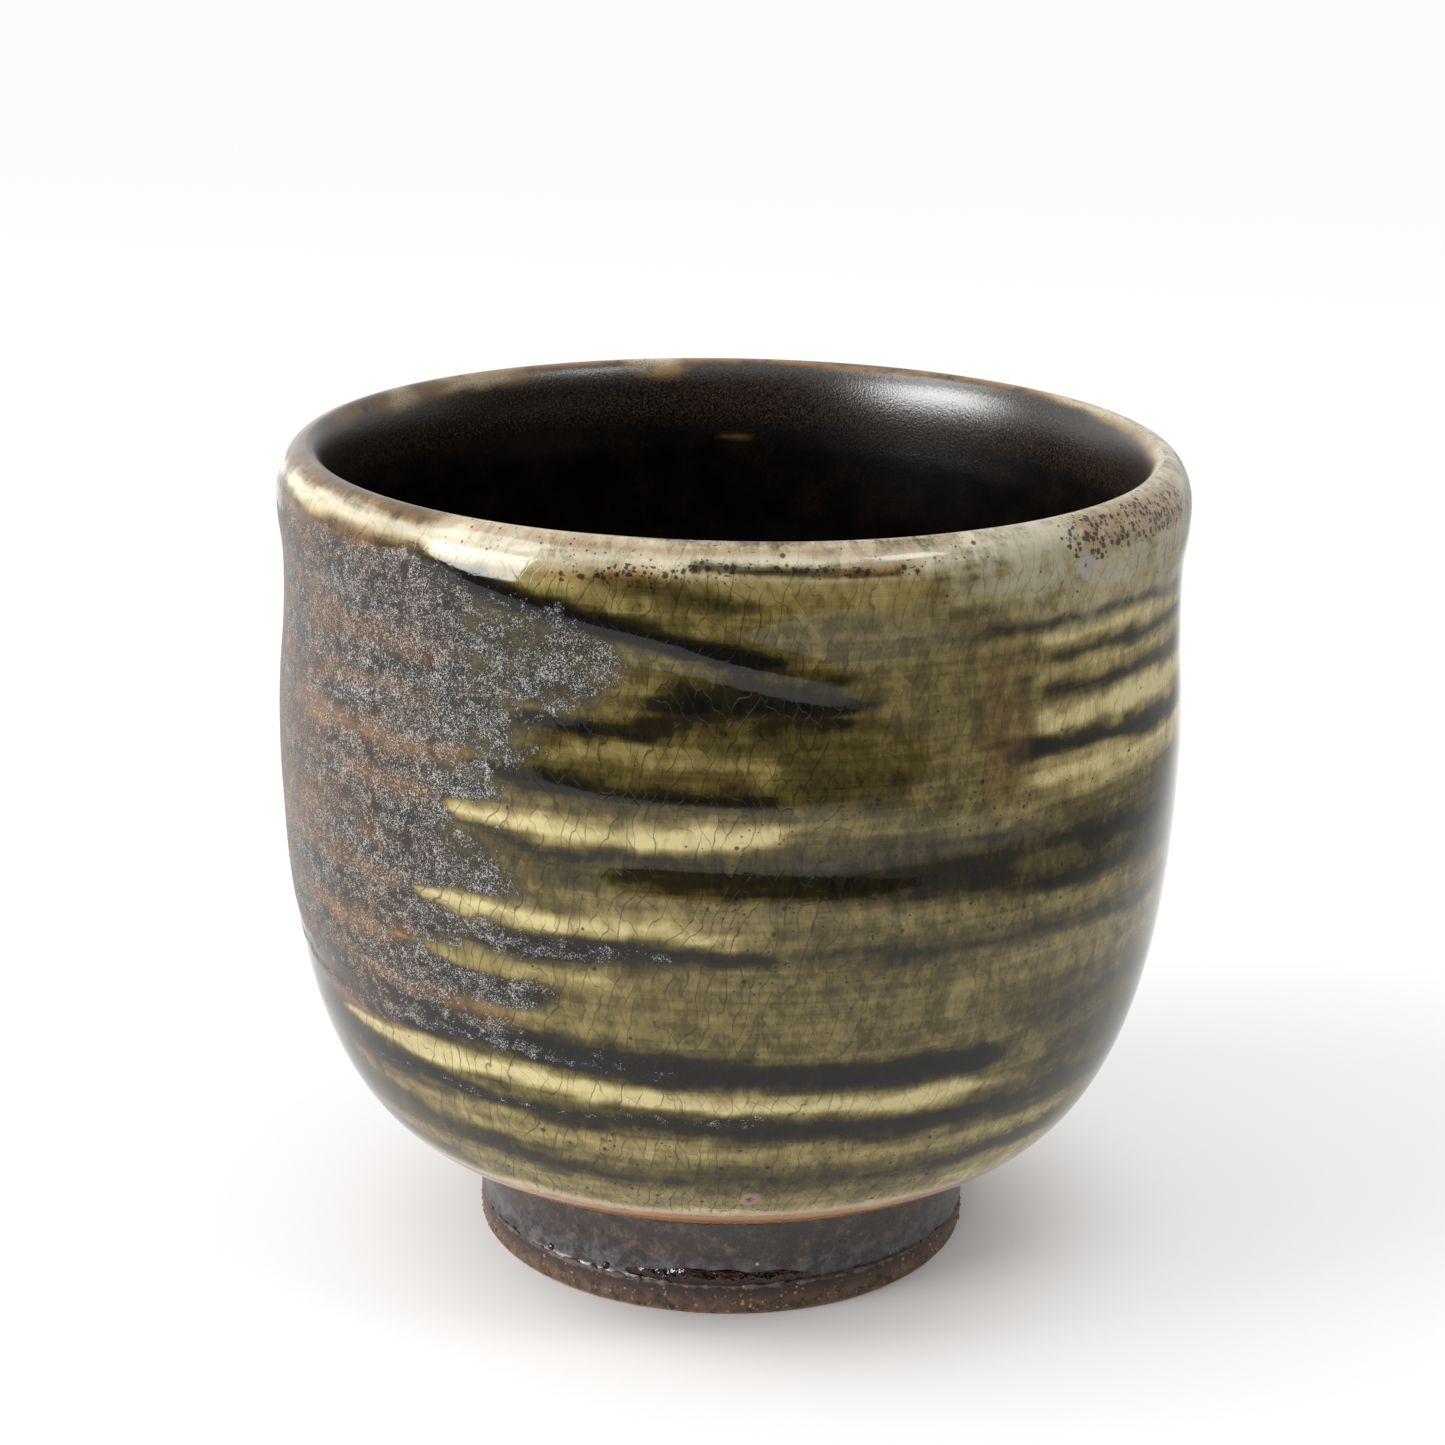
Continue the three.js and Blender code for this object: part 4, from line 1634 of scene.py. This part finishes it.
@dataclass
class Bowl:
    """The thrown bowl with its coats: sizes in millimetres, outlines, meshes and brushwork."""

    steps: BowlSteps = BowlSteps()
    lip_radius: float = 45.0
    lip_flare_drop: float = 4.9
    lip_round_out: float = 3.0
    lip_round_in: float = 2.2
    lip_inner_drop: float = 6.5
    waist_radius: float = 44.5
    waist_drop: float = 11.6
    belly_drop: float = 28.7
    belly_fullness: float = 0.61
    turn_fullness: float = 0.19
    underside_slope: float = math.radians(28)
    glaze_line_overhang: float = 8.0
    wall: float = 4.8
    floor: float = 4.0
    floor_flatness: float = 0.35
    glaze: float = 0.6
    slip: float = 0.3
    liner: float = 0.6
    recess_depth: float = 8.6
    boss_cone: float = 0.8
    luting_gap: float = 0.3
    foot_width: float = 6.4
    foot_seat: float = 25.1
    height: float = field(init=False)
    belly_radius: float = field(init=False)
    foot_radius: float = field(init=False)
    foot_height: float = field(init=False)
    glaze_line_height: float = field(init=False)

    def __post_init__(self) -> None:
        """Takes from the frame what its boxes tell."""
        self.height = CAD_BOX[1].z / MM
        self.belly_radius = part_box("outer_glaze")[1].x / MM
        self.foot_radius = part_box("foot_ring")[1].x / MM
        self.foot_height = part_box("foot_ring")[1].z / MM
        self.glaze_line_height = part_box("outer_glaze")[0].z / MM

    @property
    def glaze_line(self) -> Points:
        """Where the outer glaze ends, above the foot."""
        return np.array([self.foot_radius + self.glaze_line_overhang, self.glaze_line_height])

    @property
    def crest(self) -> Points:
        """The top of the lip."""
        return np.array([self.lip_radius - self.lip_round_out, self.height])

    def slope(self) -> Points:
        """Returns the direction in which the underside rises outwards."""
        return np.array([math.cos(self.underside_slope), math.sin(self.underside_slope)])

    def lower_wall(self, bottom: Points, belly: Points) -> tuple[Points, Points, Points, Points]:
        """Draws the curve from the underside up to the belly.

        Args:
            bottom: where it starts.
            belly: where it ends.

        Returns:
            Its four points.
        """
        rise = belly[1] - bottom[1]
        leave = bottom + self.slope() * self.turn_fullness * rise
        arrive = np.array([belly[0], belly[1] - self.belly_fullness * rise])
        return bottom, leave, arrive, belly

    def outside(self, coarseness: int = 1) -> Points:
        """Draws the finished outside, from the glaze line up to the crest.

        Args:
            coarseness: what the number of stretches is divided by.

        Returns:
            The outline.
        """
        steps = self.steps
        belly = np.array([self.belly_radius, self.height - self.belly_drop])
        face = Outline(*self.glaze_line)
        face.grow(bezier(*self.lower_wall(self.glaze_line, belly), steps.lower_wall // coarseness))
        face.sweep(self.waist_radius, self.height - self.waist_drop, steps.belly // coarseness)
        face.sweep(self.lip_radius, self.height - self.lip_flare_drop, steps.flare // coarseness)
        face.quarter(*self.crest, steps.lip // coarseness, upright_first=True)
        return face.points

    def inside(self, coarseness: int = 1) -> Points:
        """Draws the finished inside, from the crest down to the middle of the floor.

        Args:
            coarseness: what the number of stretches is divided by.

        Returns:
            The outline.
        """
        steps = self.steps
        across = np.array([-self.slope()[1], self.slope()[0]])
        turn = self.glaze_line + across * self.wall
        belly = np.array([self.belly_radius - self.wall, self.height - self.belly_drop])
        floor_height = self.foot_height + self.floor
        ease = turn + self.slope() * (floor_height - turn[1]) / self.slope()[1]
        level = np.array([self.floor_flatness * turn[0], floor_height])
        lip = (self.crest[0] - self.lip_round_in, self.height - self.lip_inner_drop)
        waist = (self.waist_radius - self.wall, self.height - self.waist_drop)
        face = Outline(*self.crest)
        face.quarter(*lip, steps.inner_lip // coarseness, upright_first=False)
        face.sweep(*waist, steps.inner_waist // coarseness)
        face.sweep(belly[0], belly[1], steps.inner_belly // coarseness)
        bottom, leave, arrive, top = self.lower_wall(turn, belly)
        face.grow(bezier(top, arrive, leave, bottom, steps.inner_wall // coarseness))
        face.grow(bezier(turn, ease, level, np.array([0.0, floor_height]), steps.floor // coarseness))
        return face.points

    def underside(self) -> Points:
        """Draws the bare clay from the foot's seat out to the glaze line.

        Returns:
            The outline.
        """
        seat = np.array([self.foot_seat, self.foot_height])
        outer = self.outside()
        edge = outer[0] + left_steps(outer)[0] * (self.glaze + self.slip)
        leave = np.array([(seat[0] + edge[0]) / 2, self.foot_height])
        arrive = edge - self.slope() * (edge[0] - seat[0]) / 2
        return np.concatenate([seat[None], bezier(seat, leave, arrive, edge, self.steps.underside)])

    def liner_outline(self) -> Points:
        """Draws the liner, from the middle of its back up over the crest and down to the middle of its face.

        Returns:
            The outline.
        """
        inner = self.inside()
        back = (inner + left_steps(inner) * self.liner)[::-1][:: self.steps.liner_back]
        return np.concatenate([back, inner[:1] + (0.0, -self.liner), inner])

    def clay_outline(self) -> Points:
        """Draws the clay of the bowl, from the middle of the boss round to the middle of the floor.

        Returns:
            The outline.
        """
        boss = self.foot_radius - self.foot_width - self.luting_gap
        outer, inner = self.outside(self.steps.clay), self.inside(self.steps.clay)
        ring = Outline(0.0, self.recess_depth - self.boss_cone)
        ring.line(boss, self.recess_depth, self.steps.boss).line(boss, self.foot_height)
        ring.grow(self.underside())
        ring.grow((outer + left_steps(outer) * (self.glaze + self.slip))[1:])
        ring.grow(inner + left_steps(inner) * self.liner)
        return ring.points

    def dress(self, work: Brushwork) -> None:
        """Makes the clay of the bowl and its coats.

        Args:
            work: the brushwork on the outside and the lip.
        """
        toasted = StonewareClay(
            "toasted_clay", dark=(0.32, 0.135, 0.055), light=(0.60, 0.31, 0.15), grain=(0.65, 0.45, 0.26)
        )
        clay = ThrownShell(columns=192, seed=5.0).turn("bowl_clay", self.clay_outline(), toasted.make())
        settle(clay, "bare_clay", "clay_bowl")
        long_ridges = {"ridge_pitch": 6.0 * MM, "ridge_run": 60.0 * MM, "wobble": 0.10 * MM}
        outside = ThrownShell(columns=440, ridge_height=0.03 * MM, **long_ridges)
        ring = coat_ring(self.outside(), self.glaze, self.steps.glaze_back)
        glaze = outside.turn("ash_glaze_coat", ring, AshGlaze().make())
        work.press(glaze)
        work.dress(glaze, work.outside_marks(), work.ground)
        settle(glaze, "ash_glaze", "outer_glaze")
        inside = ThrownShell(columns=320, ridge_height=0.14 * MM, **long_ridges)
        liner = inside.turn("iron_liner_coat", self.liner_outline(), IronLiner().make())
        work.dress(liner, work.lip_marks(), 0.0)
        settle(liner, "iron_liner", "inner_glaze")
        slip = StonewareClay(
            "brushed_slip", dark=(0.45, 0.40, 0.27), light=(0.62, 0.57, 0.42), grain=(0.35, 0.28, 0.18)
        )
        slip_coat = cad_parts["slip_coat"].data
        slip_coat.materials.clear()
        slip_coat.materials.append(slip.make())


@dataclass
class Foot:
    """The foot ring, its wash, its pool of glaze and its grit: sizes in millimetres, angles in degrees.

    An arc is its two angles, a half is half of a width and of a height, and sizes are the least and the most.
    """

    edge_break: float = 0.6
    band: float = 3.1
    ledge: float = 0.7
    ledge_round: float = 0.2
    wash: float = 0.3
    pool: float = 1.6
    bare: float = 2.3
    pool_arc: tuple[float, float] = (-25.0, 23.0)
    pool_inset: float = 0.85
    pool_lift: float = 0.6
    pool_half: tuple[float, float] = (0.98, 1.30)
    crust_arc: tuple[float, float] = (-74.0, 66.0)
    crust_half: tuple[float, float] = (0.14, 0.22)
    drops: tuple[tuple[float, float], ...] = ((-42.8, 3.6), (-27.0, 3.7))
    drop_inset: float = 0.45
    drop_sizes: tuple[float, float] = (0.40, 0.55)
    grit: int = 420
    grit_sizes: tuple[float, float] = (0.06, 0.22)
    grit_fall: float = 1.6
    sand: Colour = (0.42, 0.24, 0.11)
    seed: int = 7

    def ring_outline(self, bowl: Bowl) -> Points:
        """Draws the foot ring.

        Args:
            bowl: that stands on the foot.

        Returns:
            The closed outline.
        """
        outer, inner, top = bowl.foot_radius, bowl.foot_radius - bowl.foot_width, bowl.foot_height
        cut, turned = self.edge_break, self.ledge_round
        ring = Outline(inner + cut, 0.0).line(outer - cut, 0.0, 8)
        ring.quarter(outer, cut, 5, upright_first=False).line(outer, self.band - turned, 10)
        ring.quarter(outer - turned, self.band, 3, upright_first=True)
        ring.line(outer - self.ledge, self.band, 3).line(bowl.foot_seat, top, 20)
        ring.line(inner, top, 2).line(inner, cut, 20).quarter(inner + cut, 0.0, 5, upright_first=True)
        return ring.points

    def wash_outline(self, bowl: Bowl) -> Points:
        """Draws the wash on the neck and the underside.

        Args:
            bowl: that stands on the foot.

        Returns:
            The closed outline.
        """
        ledge = np.array([bowl.foot_radius - self.ledge, self.band])
        seat = np.array([bowl.foot_seat, bowl.foot_height])
        under = bowl.underside()
        under = under[under[:, 0] < under[-1, 0] - self.bare]
        low = ledge + (seat - ledge) * self.pool / (seat - ledge)[1]
        neck = Outline(*low).line(*seat, 24).points
        clay = np.concatenate([neck, under[1:]])
        face = clay - left_steps(clay) * self.wash
        corner = len(neck) - 1
        fillet = bezier(face[corner - 4], face[corner], face[corner], face[corner + 4], 8)
        face = np.concatenate([face[: corner - 3], fillet, face[corner + 5 :]])
        brim = np.array([bowl.foot_radius, self.band])
        pool = bezier(brim, brim + (-0.35, 0.25), face[0] - (0.0, 0.8), face[0], 8)
        return np.concatenate([brim[None], pool, face[1:], clay[::-1], ledge[None], brim[None]])

    @staticmethod
    def around(radius: Points | float, angle: Points, height: Points) -> Points:
        """Returns places in metres from radii and heights in millimetres and angles in degrees."""
        turn = np.radians(angle)
        return np.stack([radius * np.sin(turn), -radius * np.cos(turn), height], -1) * MM

    def dress(self, bowl: Bowl) -> None:
        """Makes the foot ring, its wash and what clings to its ledge.

        Args:
            bowl: that stands on the foot.
        """
        darkened = StonewareClay(
            "foot_clay",
            dark=(0.018, 0.011, 0.009),
            light=(0.190, 0.110, 0.070),
            grain=self.sand,
            roughness=0.45,
            hem=0.5,
            stain=2.8,
        )
        turned = ThrownShell(
            columns=300, ridge_height=0.07 * MM, ridge_pitch=1.8 * MM, ridge_run=4.0 * MM, wobble=0.12 * MM
        )
        ring = turned.turn("foot_ring_turned", self.ring_outline(bowl), darkened.make())
        settle(ring, "foot_clay", "foot_ring")
        wash = turned.turn("iron_wash_coat", self.wash_outline(bowl), IronWash().make())
        settle(wash, "iron_wash", "iron_wash")
        glass = PoolGlaze().make()
        self.lay_pool(bowl, glass)
        self.lay_crust(bowl)
        self.lay_drops(bowl, glass)
        self.lay_grit(bowl)

    def lay_pool(self, bowl: Bowl, glass: Material) -> None:
        """Lays the bead of pooled glaze on the ledge.

        Args:
            bowl: that stands on the foot.
            glass: the pooled glaze.
        """
        bead = LedgeBead(
            radius=(bowl.foot_radius - self.pool_inset) * MM,
            height=(self.band + self.pool_lift) * MM,
            start=math.radians(self.pool_arc[0]),
            end=math.radians(self.pool_arc[1]),
            out=self.pool_half[0] * MM,
            up=self.pool_half[1] * MM,
            lumps=0.12,
            lump_size=5.0 * MM,
            columns=110,
            sections=20,
        )
        settle(bead.grow("glaze_pool", glass), "iron_wash")

    def lay_crust(self, bowl: Bowl) -> None:
        """Lays the thin crust along the edge of the ledge.

        Args:
            bowl: that stands on the foot.
        """
        bead = LedgeBead(
            radius=bowl.foot_radius * MM,
            height=self.band * MM,
            start=math.radians(self.crust_arc[0]),
            end=math.radians(self.crust_arc[1]),
            out=self.crust_half[0] * MM,
            up=self.crust_half[1] * MM,
            lumps=0.9,
            lump_size=1.2 * MM,
            columns=320,
            sections=8,
        )
        salt = StonewareClay(
            "salt_crust", dark=(0.030, 0.020, 0.016), light=(0.190, 0.135, 0.110), grain=self.sand
        )
        settle(bead.grow("ledge_crust", salt.make()), "foot_clay")

    def lay_drops(self, bowl: Bowl, glass: Material) -> None:
        """Sets the drops of glaze on the ledge.

        Args:
            bowl: that stands on the foot.
            glass: the pooled glaze.
        """
        least, most = self.drop_sizes
        angles, heights = np.array(self.drops).T
        places = self.around(bowl.foot_radius - self.drop_inset, angles, heights)
        drops = Grains(least * MM, most * MM, fineness=3, seed=self.seed)
        settle(drops.grow("glaze_drops", glass, places.tolist()), "iron_wash")

    def lay_grit(self, bowl: Bowl) -> None:
        """Scatters the sand of the kiln shelf on the band.

        Args:
            bowl: that stands on the foot.
        """
        least, most = self.grit_sizes
        draw = np.random.default_rng(self.seed)
        angles = draw.uniform(-180.0, 180.0, self.grit)
        tall = self.band - self.edge_break - 0.1
        heights = self.edge_break + tall * draw.uniform(0.0, 1.0, self.grit) ** self.grit_fall
        sandy = StonewareClay(
            "kiln_sand", dark=(0.16, 0.085, 0.045), light=self.sand, grain=(0.50, 0.38, 0.24), roughness=0.8
        )
        grains = Grains(least * MM, most * MM, seed=self.seed)
        places = self.around(bowl.foot_radius, angles, heights)
        settle(grains.grow("kiln_grit", sandy.make(), places.tolist()), "foot_clay")


@dataclass(frozen=True)
class PaleFloor:
    """A white table top that glows white for the camera, lifting part of the cup's shadow, and glows brighter
    in front of the cup and dimmer to its right where reflections see it.

    Pairs are places, in metres, between which a change eases in: from the cup's axis or along one axis.

    Attributes:
        tone: of the paint.
        roughness: of the paint.
        white: brightness of the white that it fades to.
        behind: where it fades to white behind the cup.
        around: where it fades to white in the distance.
        shadow: where it fades in part, over the shadow of the cup.
        shadow_lift: how far it fades there.
        front: where reflections see it brighter, in front of the cup.
        front_glow: how bright.
        right: where reflections see it darker, to the right of the cup.
        right_glow: how bright.
    """

    tone: float = 0.85
    roughness: float = 0.9
    white: float = 0.97
    behind: tuple[float, float] = (0.0, 0.9)
    around: tuple[float, float] = (0.35, 1.0)
    shadow: tuple[float, float] = (0.028, 0.050)
    shadow_lift: float = 0.35
    front: tuple[float, float] = (-0.12, -0.24)
    front_glow: float = 1.32
    right: tuple[float, float] = (0.06, 0.18)
    right_glow: float = 0.46

    def make(self) -> Material:
        """Builds the floor's paint and returns it."""
        material, sheet, shader = new_material("pale_floor")
        paint = {"Base Color": (self.tone, self.tone, self.tone, 1.0), "Roughness": self.roughness}
        sheet.wire(shader, paint | {"Specular IOR Level": 0.0})
        rays = sheet.add("ShaderNodeLightPath").outputs
        place = sheet.split(sheet.add("ShaderNodeTexCoord").outputs["Object"])
        squares = [sheet.math("POWER", place[axis], 2.0) for axis in (0, 1)]
        away = sheet.math("SQRT", sheet.plus(*squares))
        distant = sheet.most(sheet.ease(place[1], *self.behind), sheet.ease(away, *self.around))
        distant = sheet.most(distant, sheet.ease(away, *self.shadow, 0.0, self.shadow_lift))
        faded = sheet.times(rays["Is Camera Ray"], distant)
        front, right = sheet.ease(place[1], *self.front), sheet.ease(place[0], *self.right)
        mirrored = sheet.times(rays["Is Glossy Ray"], sheet.most(front, right))
        share = sheet.math("ADD", faded, mirrored, clamp=True)
        glow = sheet.ease(right, 0.0, 1.0, self.front_glow, self.right_glow)
        glow = sheet.ease(rays["Is Glossy Ray"], 0.0, 1.0, self.white, glow)
        white = sheet.add("ShaderNodeEmission", {"Color": (1.0, 1.0, 1.0, 1.0), "Strength": glow})
        mix = sheet.add("ShaderNodeMixShader", {0: share, 1: shader.outputs[0], 2: white.outputs[0]})
        sheet.wire(material.node_tree.nodes["Material Output"], {"Surface": mix.outputs[0]})
        return material


class Shows(Enum):
    """Where the light of a lamp shows."""

    EVERYWHERE = "everywhere"
    NOT_IN_GLOSS = "not in gloss"
    ONLY_IN_GLOSS = "only in gloss"


@dataclass(frozen=True)
class Softbox:
    """A soft lamp that faces the cup: lengths in metres, angles in degrees.

    Attributes:
        name: of the lamp.
        azimuth: 0 in front of the cup, growing to the viewer's right.
        elevation: above the table.
        size: width and height of the lamp.
        power: in watts.
        shows: where its light shows.
        distance: from the cup's middle.
    """

    name: str
    azimuth: float
    elevation: float
    size: tuple[float, float]
    power: float
    shows: Shows = Shows.EVERYWHERE
    distance: float = 1.6

    def hang(self) -> None:
        """Hangs the lamp."""
        data = bpy.data.lights.new(self.name, "AREA")
        data.shape = "RECTANGLE"
        data.size, data.size_y = self.size
        data.energy = self.power
        lamp = bpy.data.objects.new(self.name, data)
        turn, lift = math.radians(self.azimuth), math.radians(self.elevation)
        way = Vector((math.sin(turn) * math.cos(lift), -math.cos(turn) * math.cos(lift), math.sin(lift)))
        aim = Vector((0.0, 0.0, CAD_BOX[1].z / 2))
        lamp.location = aim + way * self.distance
        lamp.rotation_euler = way.to_track_quat("Z", "Y").to_euler()
        lamp.visible_glossy = self.shows is not Shows.NOT_IN_GLOSS
        lamp.visible_diffuse = self.shows is not Shows.ONLY_IN_GLOSS
        bpy.context.scene.collection.objects.link(lamp)


@dataclass
class Studio:
    """Camera, lamps, floor and surroundings: lengths in metres, angles in degrees."""

    camera_place: tuple[float, float, float] = (-0.00075, -0.29827, 0.14732)
    camera_pitch: float = 17.458
    camera_roll: float = 1.0027
    focal_pixels: float = 3075.6
    camera_near: float = 0.01
    floor_front: float = -0.285
    floor_back: float = 3.0
    floor_half: float = 4.0
    backdrop: float = 0.97
    lamps: tuple[Softbox, ...] = (
        Softbox("key_softbox", -74.0, 48.0, (0.90, 0.55), 10.2),
        Softbox("low_softbox", -64.0, 15.0, (0.78, 0.44), 16.0, Shows.NOT_IN_GLOSS),
        Softbox("gloss_card", -64.0, 20.0, (1.00, 0.62), 37.0, Shows.ONLY_IN_GLOSS),
        Softbox("far_softbox", 55.0, 50.0, (0.40, 0.30), 4.0),
    )

    def build(self) -> None:
        """Sets up everything round the cup."""
        self.camera()
        self.floor()
        self.world()
        for lamp in self.lamps:
            lamp.hang()
        bpy.context.scene.view_settings.view_transform = "Standard"

    def camera(self) -> None:
        """Places the camera as the photograph was taken."""
        data = bpy.data.cameras.new("camera")
        data.sensor_width = SENSOR_WIDTH
        data.lens = self.focal_pixels / PHOTO_SIDE * SENSOR_WIDTH
        data.clip_start = self.camera_near
        camera = bpy.data.objects.new("camera", data)
        tilt = Euler((math.radians(90.0 - self.camera_pitch), 0.0, 0.0)).to_matrix().to_4x4()
        roll = Matrix.Rotation(math.radians(self.camera_roll), 4, "Z")
        camera.matrix_world = Matrix.Translation(self.camera_place) @ tilt @ roll
        bpy.context.scene.collection.objects.link(camera)
        bpy.context.scene.camera = camera

    def floor(self) -> None:
        """Lays the pale floor."""
        mesh = bpy.data.meshes.new("floor")
        half, front, back = self.floor_half, self.floor_front, self.floor_back
        corners = [(-half, front, 0.0), (half, front, 0.0), (half, back, 0.0), (-half, back, 0.0)]
        mesh.from_pydata(corners, [], [(0, 1, 2, 3)])
        mesh.materials.append(PaleFloor().make())
        floor = bpy.data.objects.new("floor", mesh)
        bpy.context.scene.collection.objects.link(floor)

    def world(self) -> None:
        """Surrounds the cup with a pale room that is dark behind the camera and dimmer on the right."""
        world = bpy.data.worlds.new("room")
        world.use_nodes = True
        bpy.context.scene.world = world
        sheet = NodeSheet(world.node_tree)
        around = sheet.split(sheet.add("ShaderNodeTexCoord").outputs["Generated"])
        side = sheet.ease(around[0], -0.6, 0.6, 1.00, 0.48)
        back = sheet.times(sheet.ease(around[1], -0.25, 0.35, 0.02, 1.3), side)
        top = sheet.ease(around[2], 0.30, 0.8, 0.0, 1.15)
        level = sheet.most(back, top)
        ray = sheet.add("ShaderNodeLightPath").outputs["Is Camera Ray"]
        level = sheet.ease(ray, 0.0, 1.0, level, self.backdrop)
        background = world.node_tree.nodes["Background"]
        sheet.wire(background, {"Color": (1.0, 1.0, 1.0, 1.0), "Strength": level})


def main() -> None:
    """Builds the studio and the cup."""
    logging.basicConfig(level=logging.INFO, format="%(message)s")
    Studio().build()
    bowl = Bowl()
    bowl.dress(Brushwork())
    Foot().dress(bowl)


if __name__ == "__main__":
    main()
